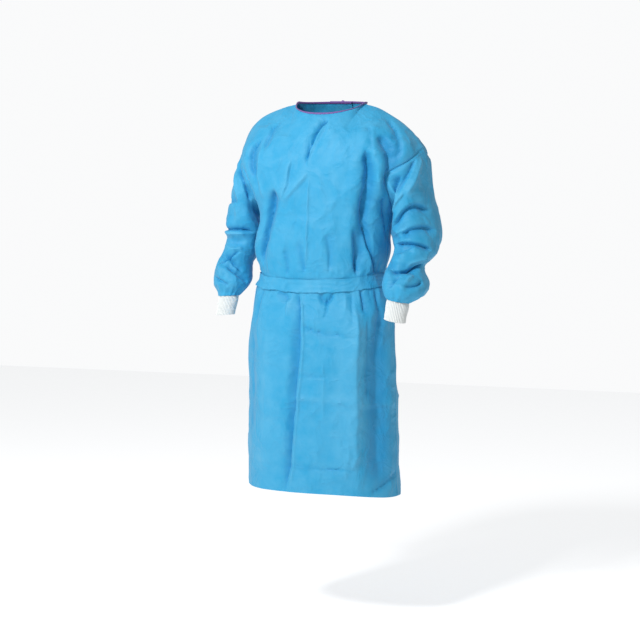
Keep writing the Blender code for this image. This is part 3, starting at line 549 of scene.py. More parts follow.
# Main folds, which the solids have too: bearing round the body (0 front, 90 the wearer's left)
# and height of both ends, half the width, and the ridge's height (a trough's is negative).
bodyFold = namedtuple("bodyFold", "name bearingA zA bearingB zB width rise")
bodyFolds = [bodyFold(*row) for row in (
    ("left chest drop", 60, -0.13, 60, -0.53, 0.020, -0.014),
    ("left armpit drop", 72, -0.11, 74, -0.31, 0.018, -0.010),
    ("right chest drop", -38, -0.26, -57, -0.51, 0.022, -0.010),
    ("right armpit drop", -66, -0.12, -56, -0.29, 0.018, -0.008),
    ("neck drag", 34, -0.06, 0, -0.20, 0.014, -0.006),
    ("skirt right fold", -2, -0.60, -12, -1.16, 0.018, -0.009),
    ("skirt left fold", 54, -0.60, 50, -1.12, 0.040, 0.006),
    ("skirt side wave", -78, -0.66, -82, -1.16, 0.034, 0.007),
    ("skirt left wave", 82, -0.66, 84, -1.16, 0.036, 0.008),
    ("back drop left", 140, -0.16, 146, -0.50, 0.026, -0.010),
    ("back drop right", -138, -0.18, -146, -0.50, 0.026, -0.010),
    ("back skirt left", 136, -0.60, 132, -1.16, 0.034, -0.012),
    ("back skirt right", -140, -0.60, -134, -1.16, 0.034, -0.012),
    ("back skirt middle", 164, -0.60, 160, -1.12, 0.028, 0.007),
)]

# Creases: three places on the line (bearing, height), width and rise in millimetres, how much
# wider the side towards the wearer's left is, how it falls (2 round, 1 pressed to an edge), and
# how much it widens from its first place to its last.
bodyCrease = namedtuple("bodyCrease", "b1 z1 b2 z2 b3 z3 width rise lean sharp flare")
bodyCreases = [bodyCrease(*row) for row in (
    # neck and chest
    (36, -0.068, 13, -0.104, 1, -0.205, 8, -7.4, -0.62, 1.1, 0.5),
    (3, -0.115, 6, -0.165, 4, -0.215, 6, 2.2, 0.62, 1, 0.5),
    (-21, -0.180, -23, -0.245, -30, -0.308, 10, 4.2, -0.62, 1.1, 0.5),
    (6, -0.222, -12, -0.268, -30, -0.308, 10, 4.2, -0.62, 1.1, 0.5),
    (6, -0.230, 6, -0.360, 3, -0.520, 4, 2.8, 0, 1, 0),
    (-36, -0.265, -50, -0.345, -58, -0.510, 11, -9.6, 0.62, 1.15, -0.5),
    (-72, -0.070, -64, -0.100, -54, -0.150, 9, -4.8, 0.62, 1.25, 0.5),
    (-66, -0.105, -68, -0.165, -60, -0.235, 9, -7.2, 0.62, 1.25, 0.5),
    (-58, -0.130, -56, -0.220, -49, -0.310, 7, 3.3, 0.2, 1.1, 0.5),
    (-48, -0.205, -40, -0.190, -32, -0.180, 8, 1.8, 0, 1.1, 0),
    (-10, -0.420, -2, -0.470, 0, -0.520, 14, -3.6, 0, 1.25, -0.5),
    (-26, -0.440, -22, -0.480, -24, -0.525, 12, -3.6, 0.2, 1.25, -0.5),
    (24, -0.400, 30, -0.450, 30, -0.520, 16, -3.6, 0.62, 1.25, -0.5),
    (70, -0.085, 66, -0.115, 63, -0.170, 8, -4.6, 0.3, 1.25, 0.3),
    (73, -0.075, 64, -0.170, 70, -0.285, 7, 4.0, -0.2, 1.05, 0.5),
    (60, -0.150, 57, -0.245, 60, -0.400, 9, -11.5, 0.62, 1.1, 0.5),
    (60, -0.360, 68, -0.445, 79, -0.530, 9, -9.9, 0.62, 1.1, -0.5),
    (53, -0.380, 54, -0.455, 57, -0.530, 9, -8.4, 0.62, 1.1, -0.5),
    (58, -0.306, 68, -0.307, 80, -0.305, 4, -2.0, 0, 1, 0),
    (73, -0.110, 71, -0.160, 74, -0.285, 9, -10.8, 0.2, 1.25, 0.5),
    (90, -0.058, 80, -0.125, 76, -0.205, 6, -5.5, -0.62, 1.1, 0.5),
    (72, -0.114, 76, -0.115, 81, -0.122, 6, -3.3, 0, 1.1, 0),
    (72, -0.290, 82, -0.352, 89, -0.425, 8, -6, 0, 1.25, -0.5),
    (64, -0.400, 70, -0.420, 74, -0.520, 8, 2.5, 0, 1.05, -0.5),
    (-80, -0.330, -84, -0.410, -80, -0.510, 12, -6, 0.2, 1.25, -0.5),
    # under and over the belt
    (-34, -0.568, -24, -0.578, -15, -0.602, 7, -5.5, -0.4, 1.1, 0),
    (-22, -0.578, -18, -0.600, -17, -0.650, 7, 2.9, 0.62, 1.1, 0.5),
    (18, -0.566, 27, -0.594, 34, -0.564, 7, -5.5, 0, 1.1, 0),
    (27, -0.580, 27, -0.610, 25, -0.650, 6, -2.6, 0.2, 1.1, 0.5),
    (58, -0.560, 59, -0.590, 59, -0.640, 6, -5.5, 0.62, 1.1, 0.5),
    (51, -0.565, 50, -0.610, 48, -0.672, 5, -2.0, 0.2, 1.05, 0.5),
    (45, -0.575, 45, -0.600, 43, -0.640, 6, 1.8, 0, 1.1, 0.5),
    (72, -0.560, 73, -0.610, 74, -0.690, 8, -4.4, 0.2, 1.1, 0.5),
    (-52, -0.560, -54, -0.600, -56, -0.680, 8, -4, -0.2, 1.1, 0.5),
    (-70, -0.560, -72, -0.610, -74, -0.700, 9, -4.4, 0, 1.1, 0.5),
    # skirt: the long pressed folds
    (-9, -0.575, -1, -0.660, -3, -0.850, 7, -5.6, -0.8, 1, 0.3),
    (-2, -0.760, -7, -0.980, -13, -1.180, 7, -5.0, -0.8, 1, 0.2),
    (-4, -0.590, 4, -0.670, 2, -0.860, 5, 2.6, -0.4, 1, 0.2),
    (3, -0.760, -2, -0.980, -8, -1.175, 5, 2.6, -0.4, 1, 0.2),
    (53, -0.585, 51, -0.850, 50, -1.175, 26, 7.0, -0.4, 1.1, 0.5),
    (72, -0.600, 71, -0.860, 70, -1.175, 40, -10.8, 0, 1.25, 0.5),
    (61, -0.640, 60, -0.760, 62, -0.900, 9, -2.6, 0.5, 1.1, 0.5),
    (24, -0.760, 24, -0.860, 23, -0.960, 5, 1.2, 0, 1, 0.5),
    (44, -1.000, 44, -1.060, 42, -1.120, 5, 1.6, 0, 1, 0.5),
    (46, -1.085, 51, -1.055, 55, -1.030, 5, 2.6, 0, 1, 0.5),
    (60, -1.162, 76, -1.132, 96, -1.100, 6, -3.5, 0, 1, 0.5),
    (-2, -0.664, 26, -0.688, 58, -0.700, 6, -3.6, -0.7, 1, 0),
    (-4, -0.813, 14, -0.813, 30, -0.812, 5, -2.6, 0, 1, 0),
    (-14, -0.881, 20, -0.885, 52, -0.894, 5, 3.4, 0.62, 1, 0),
    (38, -0.891, 62, -0.897, 96, -0.904, 5, 2.4, 0.62, 1, 0),
    (-22, -1.077, 18, -1.080, 56, -1.085, 5, -3.4, -0.62, 1, 0),
    (-80, -0.880, -50, -0.884, -22, -0.886, 5, 0.8, 0, 1, 0),
    (-82, -1.080, -52, -1.076, -22, -1.078, 6, -0.9, 0, 1, 0),
    (-60, -0.660, -58, -0.840, -60, -1.020, 30, -3.6, 0, 1.25, 0.5),
    (-34, -0.640, -36, -0.900, -38, -1.160, 34, 3.3, 0, 1.1, 0.5),
    # sides and back
    (100, -0.600, 102, -0.720, 99, -0.900, 14, -7.2, 0.2, 1.25, 0.5),
    (112, -0.560, 116, -0.640, 115, -0.780, 10, -5.5, -0.2, 1.1, 0.5),
    (122, -0.570, 124, -0.640, 122, -0.720, 8, 3.3, 0.2, 1.1, 0.5),
    (148, -0.560, 150, -0.680, 146, -0.900, 12, -5.5, 0.2, 1.1, 0.5),
    (158, -0.560, 160, -0.600, 161, -0.660, 7, -3.3, 0.1, 1.1, 0.5),
    (170, -0.560, 171, -0.620, 172, -0.720, 8, -3.9, 0, 1.1, 0.5),
    (-98, -0.590, -101, -0.720, -98, -0.880, 13, -6.6, -0.2, 1.25, 0.5),
    (-114, -0.560, -118, -0.650, -116, -0.790, 10, -5.5, 0.2, 1.1, 0.5),
    (-128, -0.570, -130, -0.630, -128, -0.700, 8, 3.3, 0.1, 1.1, 0.5),
    (-150, -0.560, -153, -0.680, -150, -0.880, 12, -5.5, -0.2, 1.1, 0.5),
    (-166, -0.560, -168, -0.620, -167, -0.700, 8, -3.7, 0.1, 1.1, 0.5),
    (104, -0.350, 108, -0.420, 106, -0.515, 12, -6, 0.2, 1.25, -0.5),
    (122, -0.300, 128, -0.400, 126, -0.515, 12, -7.2, 0.62, 1.25, -0.5),
    (158, -0.330, 160, -0.420, 158, -0.515, 12, -5.4, 0.2, 1.25, -0.5),
    (-106, -0.350, -110, -0.420, -106, -0.515, 12, -6, -0.2, 1.25, -0.5),
    (-124, -0.310, -129, -0.400, -127, -0.515, 12, -7.2, -0.62, 1.25, -0.5),
    (-160, -0.340, -162, -0.420, -160, -0.515, 12, -5.4, -0.2, 1.25, -0.5),
    (112, -0.150, 122, -0.200, 136, -0.290, 12, -7.2, 0.62, 1.25, 0.5),
    (-112, -0.150, -122, -0.200, -138, -0.300, 12, -7.2, -0.62, 1.25, 0.5),
    (172, -0.060, 160, -0.120, 146, -0.180, 10, -4.8, 0.2, 1.25, 0.5),
    (-170, -0.070, -156, -0.130, -142, -0.200, 10, -4.8, 0.2, 1.25, 0.5),
    (100, -0.884, 128, -0.888, 168, -0.884, 5, 1.7, 0.62, 1, 0),
    (-100, -0.886, -130, -0.884, -168, -0.888, 5, 1.6, 0.62, 1, 0),
    (96, -1.080, 126, -1.084, 160, -1.080, 5, -1.9, 0, 1, 0),
    (-96, -1.078, -130, -1.084, -170, -1.080, 5, -1.8, 0, 1, 0),
    (104, -0.690, 130, -0.688, 160, -0.692, 6, -1.6, 0.2, 1, 0),
    (-110, -0.690, -136, -0.692, -164, -0.688, 6, -1.5, 0.2, 1, 0),
    (140, -0.308, 156, -0.306, 172, -0.308, 5, 1.4, 0, 1, 0),
    (-136, -0.306, -156, -0.308, -174, -0.306, 5, 1.4, 0, 1, 0),
    (136, -0.700, 134, -0.900, 131, -1.165, 8, 3.0, 0.2, 1, 0.5),
    (-160, -0.720, -158, -0.900, -156, -1.170, 7, 2.4, 0.2, 1, 0.5),
    (178, -0.640, 176, -0.900, 172, -1.170, 6, 1.6, 0, 1, 0.5),
)]


# Half of a body section from the left side seam to the right one, as a squared-off ellipse:
# x = cos^(2/p), y = sin^(2/p), and the edge's height runs from the side's to the middle's.
def sectionCurve(section, side):
    turn = np.linspace(0.0, math.pi, bodyShape["curvePoints"])
    across, out = np.cos(turn), np.sin(turn)
    depth = section.front if side < 0 else section.back
    power = 2.0 / section.power
    x = section.midX + section.halfWidth * np.sign(across) * np.abs(across) ** power
    y = section.midY + side * depth * np.abs(out) ** power
    middle = section.zFront if side < 0 else section.zBack
    sides = section.zLeft * (1.0 + across) / 2.0 + section.zRight * (1.0 - across) / 2.0
    return np.stack([x, y, sides + (middle - sides) * np.abs(out) ** bodyShape["sideBow"]], axis=1)


# A row of cloth from the left armhole through the middle to the right one, of the same form.
def levelCurve(level):
    turn = np.linspace(0.0, math.pi, bodyShape["curvePoints"])
    across = np.cos(turn)
    out = np.abs(np.sin(turn)) ** (2.0 / level.power)
    x = level.edgeX * np.sign(across) * np.abs(across) ** (2.0 / level.power)
    return np.stack([x, level.edgeY + (level.middleY - level.edgeY) * out,
                     level.edgeZ + (level.middleZ - level.edgeZ) * out], axis=1)


# A shoulder seam from its outer end to the neck, as a spline over its length.
def shoulderCurve(seam):
    points = np.array(seam)[::-1]
    knots = runLengths(points)
    return spline(knots, points, np.linspace(0.0, knots[-1], bodyShape["seamPoints"]))


# The neckline, a flattened ellipse that dips at the front: y = depth * sin^0.9, z by sin^1.1.
def neckCurve(shape, side):
    turn = np.linspace(0.0, math.pi, shape["neckPoints"])
    out = np.sin(turn)
    depth = shape["neckFront"] if side < 0 else shape["neckBack"]
    rise = -shape["neckFrontDrop"] if side < 0 else shape["neckBackRise"]
    z = shape["neckPointZ"] + shape["neckTilt"] * np.cos(turn) + rise * out ** shape["neckDip"]
    return np.stack([shape["neckHalfWidth"] * np.cos(turn), depth * out ** shape["neckFlat"], z], axis=1)


# The top row: the shoulder seams at both sides and the neckline between them.
def topRow(shape, side, fractions):
    share = shape["shoulderShare"]
    left = resample(shoulderCurve(shape["shoulderLeft"]), np.clip(fractions / share, 0.0, 1.0))
    right = resample(shoulderCurve(shape["shoulderRight"]), np.clip((1.0 - fractions) / share, 0.0, 1.0))
    middle = np.clip((fractions - share) / (1.0 - 2.0 * share), 0.0, 1.0)
    neck = resample(neckCurve(shape, side), middle)
    return np.where((fractions <= share)[:, None], left,
                    np.where((fractions >= 1.0 - share)[:, None], right, neck))


# One side of the body: natural cubic columns through the section rows, armhole rows and top.
def bodyGrid(shape, side, fractionsOfRow):
    levels = shape["frontLevels"] if side < 0 else shape["backLevels"]
    curves = [sectionCurve(section, side) for section in shape["sections"]]
    curves += [levelCurve(level) for level in levels]
    rows = [resample(curve, fractionsOfRow(index)) for index, curve in enumerate(curves)]
    rows.append(topRow(shape, side, fractionsOfRow(len(curves))))
    rows = np.array(rows)
    knots = rowKnots(rows)
    places = rowPlaces(knots[:1], knots, shape["sections"] + levels, shape["rowsPerStep"])
    return spline(knots, rows, places)


# Shares of a front row at which its columns stand: even over the shoulders and the neck.
def frontFractions(row):
    fine = bodyShape["columnsPerStep"]
    share = bodyShape["shoulderShare"]
    shoulder = np.linspace(0.0, share, bodyShape["shoulderColumns"] * fine + 1)
    neck = np.linspace(share, 1.0 - share, bodyShape["neckColumns"] * fine + 1)[1:-1]
    return np.concatenate([shoulder, neck, 1.0 - shoulder[::-1]])


# Half the overlap of the two backs as a share of the row's width: small at the neck.
def overlapShare(row):
    last = len(bodyShape["sections"]) + len(bodyShape["backLevels"])
    overlap = bodyShape["hemOverlap"] + (bodyShape["neckOverlap"] - bodyShape["hemOverlap"]) * row / last
    width = bodyShape["backWidth"] if row < last else bodyShape["backTopWidth"]
    return 0.5 * overlap / width


# The same for a back row, from its side seam past the middle by half the overlap.
def backFractions(row):
    fine = bodyShape["columnsPerStep"]
    share = bodyShape["shoulderShare"]
    shoulder = np.linspace(0.0, share, bodyShape["shoulderColumns"] * fine + 1)
    neck = np.linspace(share, 0.5 + overlapShare(row), bodyShape["backNeckColumns"] * fine + 1)[1:]
    return np.concatenate([shoulder, neck])


def mirroredFractions(row):
    return 1.0 - backFractions(row)


# Grid row of a section.
def sectionRow(index):
    return sum(section.steps for section in bodyShape["sections"][:index]) * bodyShape["rowsPerStep"]


underarmRow = sectionRow(-1)
beltFoot = [section.name for section in bodyShape["sections"]].index("belt foot")
beltRows = slice(sectionRow(beltFoot), sectionRow(beltFoot + 1) + 1)


# Brings the side edges of two grids together up to the underarm, and spreads the change over
# the next columns.
def matchSide(front, frontColumns, back):
    rows = slice(0, underarmRow + 1)
    shift = (back[rows, 0] - front[rows, frontColumns[0]]) / 2.0
    shares = fade(1.0 - np.arange(len(frontColumns)) / len(frontColumns))
    front[rows, frontColumns] += shift[:, None] * shares[None, :, None]
    back[rows, :len(frontColumns)] -= shift[:, None] * shares[None, :, None]


# Gives two edges the unit of their normals' sum.
def shareEdges(first, firstIndex, second, secondIndex):
    mean = unit(first[firstIndex] + second[secondIndex])
    first[firstIndex] = mean
    second[secondIndex] = mean


# One normal along each seam: the sides up to the underarm, and the shoulders.
def joinSeams(normals):
    side = slice(0, underarmRow + 1)
    count = bodyShape["shoulderColumns"] * bodyShape["columnsPerStep"] + 1
    shareEdges(normals["front"], (side, 0), normals["left"], (side, 0))
    shareEdges(normals["front"], (side, -1), normals["right"], (side, 0))
    shareEdges(normals["front"], (-1, slice(0, count)), normals["left"], (-1, slice(0, count)))
    backward = slice(-1, -count - 1, -1)
    shareEdges(normals["front"], (-1, backward), normals["right"], (-1, slice(0, count)))


# Outward normals of the three body grids, shared along the seams.
def bodyNormals(grids):
    normals = {"front": -gridNormals(grids["front"]), "left": gridNormals(grids["left"]),
               "right": -gridNormals(grids["right"])}
    joinSeams(normals)
    return normals


# Bearings round the body's axis and heights of points.
def bodyPlaces(points):
    bearing = np.arctan2(points[..., 0] - bodyShape["axisX"], -(points[..., 1] - bodyShape["axisY"]))
    return bearing, points[..., 2]


# Bearings from a middle one, between -pi and pi.
def turned(bearing, middle):
    return (bearing - middle + math.pi) % (2.0 * math.pi) - math.pi


# Main folds: rise * exp(-(d / width)^2) at distance d from a straight line, faded at its ends.
def foldRelief(points):
    bearing, z = bodyPlaces(points)
    radius = bodyShape["foldRadius"]
    height = np.zeros(z.shape)
    for fold in bodyFolds:
        middle = math.radians(0.5 * (fold.bearingA + fold.bearingB))
        u = turned(bearing, middle) * radius
        start = np.array([(math.radians(fold.bearingA) - middle) * radius, fold.zA])
        run = np.array([(math.radians(fold.bearingB) - middle) * radius, fold.zB]) - start
        length = np.hypot(*run)
        way = run / length
        along = ((u - start[0]) * way[0] + (z - start[1]) * way[1]) / length
        off = (u - start[0]) * way[1] - (z - start[1]) * way[0]
        taper = bothEnds(along, bodyShape["foldTip"])
        height += fold.rise * np.exp(-(off / fold.width) ** 2) * taper
    return height


# The creases' relief, each read in bearing and height drifted by a few millimetres.
def creaseRelief(points):
    bearing, z = bodyPlaces(points)
    radius = bodyShape["foldRadius"]
    driftU, driftV = (sum(size * wander(points, reach, seeds[axis])
                          for size, reach, seeds in bodyShape["drifts"]) for axis in range(2))
    height = np.zeros(z.shape)
    for row in bodyCreases:
        bearings = np.radians([row.b1, row.b2, row.b3])
        middle = bearings[1]
        u = turned(bearing, middle) * radius + driftU
        places = list(zip((bearings - middle) * radius, (row.z1, row.z2, row.z3)))
        height += creaseHeight(u, z + driftV, places, row.width / perMetre,
                               bodyShape["creaseStrength"] * row.rise / perMetre, row.lean, row.sharp,
                               row.flare)
    return height


crumple = {
    # height, size and seed of each part; crests and valleys have a power k too
    "swell": (0.0024, (0.11, 0.11, 0.21), 11), "smallSwell": (0.0010, 0.06, 12),
    "warp": (0.014, 0.06, (16, 17, 18)),
    "crest": (0.0034, (0.095, 0.095, 0.120), 13, 2), "valley": (-0.0026, (0.080, 0.080, 0.095), 19, 2),
    "small": (0.0011, (0.034, 0.034, 0.026), 14, 3), "patch": (0.4, 0.6, 0.12, 15),
    "least": 0.5, "upper": 0.6, "upperFrom": -0.56, "upperRamp": 0.06,
    "side": 0.25, "sideFrom": 0.9, "sideRamp": 0.5,
}


# Slow swells, and the crumple of handled nonwoven: crests and valleys along the lines where a
# smooth noise n is zero, of the form (1 - |n|) ** k, so that flat facets meet at edges.
def crumpleRelief(points, amount=1.0):
    def waves(rise, size, seed):
        return rise * wander(points, size, seed)

    def lines(rise, size, seed, power):
        return rise * (1.0 - np.abs(wander(warped, size, seed))) ** power

    rise, size, seeds = crumple["warp"]
    warped = points + rise * np.stack([wander(points, size, seed) for seed in seeds], axis=-1)
    least, more, size, seed = crumple["patch"]
    patch = least + more * fade(0.5 + wander(points, size, seed))
    swell = waves(*crumple["swell"]) + waves(*crumple["smallSwell"])
    edges = lines(*crumple["crest"]) + lines(*crumple["valley"]) + lines(*crumple["small"]) * patch
    return swell + amount * edges


# How crumpled the body is: most over the chest and sides, least on the pressed skirt.
def bodyCrumple(points):
    bearing, z = bodyPlaces(points)
    upper = fade((z - crumple["upperFrom"]) / crumple["upperRamp"])
    side = fade((np.abs(bearing) - crumple["sideFrom"]) / crumple["sideRamp"])
    return crumple["least"] + crumple["upper"] * upper + crumple["side"] * side


# Heights of the belt's two edges at a bearing, from the two sections that bound it.
def beltEdges(bearing):
    out = np.abs(np.cos(bearing)) ** bodyShape["sideBow"]
    toFront = np.cos(bearing) > 0.0
    edges = []
    for section in bodyShape["sections"][beltFoot:beltFoot + 2]:
        toLeft, toRight = (1.0 + np.sin(bearing)) / 2.0, (1.0 - np.sin(bearing)) / 2.0
        sides = section.zLeft * toLeft + section.zRight * toRight
        middle = np.where(toFront, section.zFront, section.zBack)
        edges.append(sides + (middle - sides) * out)
    return edges


waist = {
    "held": 0.12, "freeAfter": 0.012,     # share of the relief left under the belt, and where all is
    "spacing": (0.07, 0.17), "rise": (0.0014, 0.0040), "frontCalm": 0.6, "frontFrom": 0.35,
    "frontRamp": 0.4, "reach": (0.03, 0.085), "wide": (0.0045, 0.0085), "slant": 0.15,
    "slantReach": 0.2, "start": 0.008, "endShare": 0.8, "flare": 6.0, "flareReach": 0.1, "seed": 21,
}


# How freely the cloth moves: almost not at all under the belt, freely away from it.
def beltHold(points):
    bearing, z = bodyPlaces(points)
    foot, top = beltEdges(bearing)
    outside = np.maximum(np.maximum(foot - z, z - top), 0.0)
    return waist["held"] + (1.0 - waist["held"]) * fade(outside / waist["freeAfter"])


# Small gathers where the belt draws the cloth in, uneven and left out along most of the front.
def beltGathers(points):
    bearing, z = bodyPlaces(points)
    foot, top = beltEdges(bearing)
    random = np.random.default_rng(waist["seed"])
    height = np.zeros(z.shape)
    for side in (-1.0, 1.0):
        centre = -math.pi
        while centre < math.pi:
            centre += random.uniform(*waist["spacing"])
            toFront = fade((math.cos(centre) - waist["frontFrom"]) / waist["frontRamp"])
            rise = (random.uniform(*waist["rise"]) * (1.0 - waist["frontCalm"] * toFront)
                    * random.choice([-1.0, 1.0]))
            reach = random.uniform(*waist["reach"])
            wide = random.uniform(*waist["wide"])
            off = turned(bearing, centre) * bodyShape["foldRadius"]
            beyond = (foot - z) if side < 0 else (z - top)
            slant = waist["slant"] * np.clip(beyond, 0.0, waist["slantReach"])
            lane = off + slant * random.uniform(-1.0, 1.0)
            ends = fade(beyond / waist["start"]) * fade((reach - beyond) / (reach * waist["endShare"]))
            flared = wide * (1.0 + waist["flare"] * np.clip(beyond, 0.0, waist["flareReach"]))
            height += rise * np.exp(-(lane / flared) ** 2) * ends
    return height


# Lift of a back layer over its column shares: zero at the shoulder, full where layers cross.
def layerLift(fractions):
    return bodyShape["layerLift"] * fade((fractions - bodyShape["shoulderShare"]) / bodyShape["layerRamp"])


seamForm = {"groove": -0.0011, "grooveWidth": 0.0030, "turning": 0.0007, "turningAt": 0.0065,
            "turningWidth": 0.0035}


# A sewn seam at a grid's edge: a groove at the edge itself and the edge of the turning under
# the cloth a few millimetres on, each of the form rise * exp(-(d / width) ** 2).
def seamRelief(distance):
    groove = seamForm["groove"] * np.exp(-(distance / seamForm["grooveWidth"]) ** 2)
    off = (distance - seamForm["turningAt"]) / seamForm["turningWidth"]
    return groove + seamForm["turning"] * np.exp(-off ** 2)


# The three body grids with all their relief, and normals shared along the seams.
def bodyCloth():
    front = bodyGrid(bodyShape, -1, frontFractions)
    left = bodyGrid(bodyShape, 1, backFractions)
    right = bodyGrid(bodyShape, 1, mirroredFractions)
    grids = {"front": front, "left": left, "right": right}
    count = bodyShape["matchSteps"] * bodyShape["columnsPerStep"]
    matchSide(front, np.arange(count), left)
    matchSide(front, -1 - np.arange(count), right)
    normals = bodyNormals(grids)
    depths = {}
    for name, grid in grids.items():
        fromTop = np.linalg.norm(grid - grid[-1:], axis=2)
        calm = bodyShape["seamCalm"] * np.exp(-(fromTop / bodyShape["seamCalmReach"]) ** 2)
        hold = beltHold(grid) * (1.0 - calm)
        folds = foldRelief(grid)
        fine = creaseRelief(grid)
        depths[name] = bodyShape["foldTint"] * folds + fine
        height = folds + (fine + crumpleRelief(grid, bodyCrumple(grid))) * hold + beltGathers(grid)
        grid += normals[name] * height[..., None]
    normals = bodyNormals(grids)
    for name, grid in grids.items():
        fromSide = np.linalg.norm(grid - grid[:, :1], axis=2)
        height = seamRelief(fromSide)
        if name == "front":
            height = height + seamRelief(np.linalg.norm(grid - grid[:, -1:], axis=2))
        shoulder = bodyShape["shoulderColumns"] * bodyShape["columnsPerStep"]
        columns = np.arange(grid.shape[1])
        onShoulder = columns <= shoulder
        if name == "front":
            onShoulder = onShoulder | (columns >= grid.shape[1] - 1 - shoulder)
        height += seamRelief(np.linalg.norm(grid - grid[-1:], axis=2)) * onShoulder[None, :]
        grid += normals[name] * height[..., None]
    normals = bodyNormals(grids)
    lifts = layerLift(backFractions(0))
    left += normals["left"] * lifts[None, :, None]
    right -= normals["right"] * lifts[None, :, None]
    return grids, normals, depths


grids, normals, depths = bodyCloth()
print("body cloth shaped")

sleeveRing = namedtuple("sleeveRing", "name x y z across depth lean steps")
sleeveFold = namedtuple("sleeveFold", "name alongA bearingA alongB bearingB width rise")
# Creases of a sleeve: three places (share along it, bearing round it), width and rise in mm,
# lean and sharpness as on the body.
sleeveCrease = namedtuple("sleeveCrease", "a1 b1 a2 b2 a3 b3 width rise lean sharp")

sleeveForm = {
    "rowsPerStep": 14, "firstRows": 5, "girthRadius": 0.075, "turnStep": 0.013,
    "turnAcross": (0.72, 0.27), "turnDown": (0.5, 0.4),    # how the cloth leaves the seam, by bearing
    "drift": 0.003, "driftSize": 0.04, "foldTip": 0.22, "flare": 0.35, "creaseStrength": 2.2,
    # foldTint: share of the main folds in the depth that gives painted shade in the troughs
    "crumple": 1.7, "foldTint": 0.45, "calm": 0.04,    # calm: share at each end without creases
}
leftSleeve = {
    "mirror": 1.0, "seed": 31,
    "rings": [sleeveRing(*row) for row in (
        ("upper arm", 0.257, 0.016, -0.335, 0.075, 0.100, 42.0, 3),
        ("elbow", 0.269, 0.018, -0.405, 0.069, 0.100, 16.0, 3),
        ("forearm", 0.274, -0.024, -0.462, 0.055, 0.076, -4.0, 3),
        ("tuck", 0.266, -0.054, -0.490, 0.049, 0.066, -8.0, 2),
        ("puff", 0.276, -0.086, -0.541, 0.066, 0.078, -10.0, 3),
        ("end", 0.269, -0.126, -0.592, 0.034, 0.037, -12.0, 3),
    )],
    "folds": [sleeveFold(*row) for row in (
        ("upper arc", 0.36, 285, 0.44, 225, 0.018, -0.008),
        ("elbow arc", 0.52, 300, 0.56, 225, 0.018, -0.010),
        ("inner elbow arc", 0.50, 160, 0.56, 220, 0.018, -0.008),
        ("forearm tuck", 0.70, 340, 0.70, 200, 0.014, -0.010),
    )],
    "creases": [sleeveCrease(*row) for row in (
        (0.010, 330, 0.090, 294, 0.150, 262, 10, -5.5, 0.68, 1.1),
        (0.030, 345, 0.120, 315, 0.200, 285, 10, 3.9, 0, 1.1),
        (0.060, 285, 0.110, 262, 0.150, 235, 9, -6.6, 0.68, 1.1),
        (0.170, 285, 0.185, 262, 0.200, 238, 7, 3.0, 0.68, 1.1),
        (0.335, 350, 0.265, 292, 0.310, 232, 9, -7.7, -0.68, 1.1),
        (0.430, 352, 0.392, 305, 0.405, 255, 9, -6.6, -0.68, 1.1),
        (0.390, 280, 0.375, 262, 0.385, 240, 7, 3.0, 0, 1),
        (0.550, 345, 0.486, 290, 0.480, 225, 7, -8.0, -0.68, 1),
        (0.520, 300, 0.545, 280, 0.600, 255, 9, 2.6, 0, 1.1),
        (0.655, 352, 0.712, 300, 0.735, 232, 6, -8.0, -0.68, 1),
        (0.600, 350, 0.640, 320, 0.700, 300, 9, 3.0, 0, 1.1),
        (0.780, 345, 0.830, 318, 0.850, 285, 7, -5.0, 0, 1.1),
        (0.770, 285, 0.820, 265, 0.900, 255, 7, -4.0, 0.68, 1.1),
        (0.750, 320, 0.800, 300, 0.900, 290, 7, 3.0, 0, 1.1),
        (0.300, 150, 0.340, 110, 0.300, 70, 10, -6.6, 0.68, 1.1),
        (0.420, 165, 0.430, 120, 0.400, 60, 9, -6.6, 0.68, 1.1),
        (0.560, 140, 0.540, 90, 0.590, 30, 9, -6.6, 0.68, 1.1),
        (0.690, 170, 0.700, 110, 0.680, 50, 8, -6.0, 0.68, 1.1),
        (0.080, 40, 0.180, 70, 0.260, 100, 11, -4.4, 0, 1.1),
        (0.800, 120, 0.850, 90, 0.880, 50, 8, -4.4, 0, 1.1),
        (0.200, 200, 0.240, 180, 0.220, 150, 9, -5.5, 0, 1.1),
    )],
}
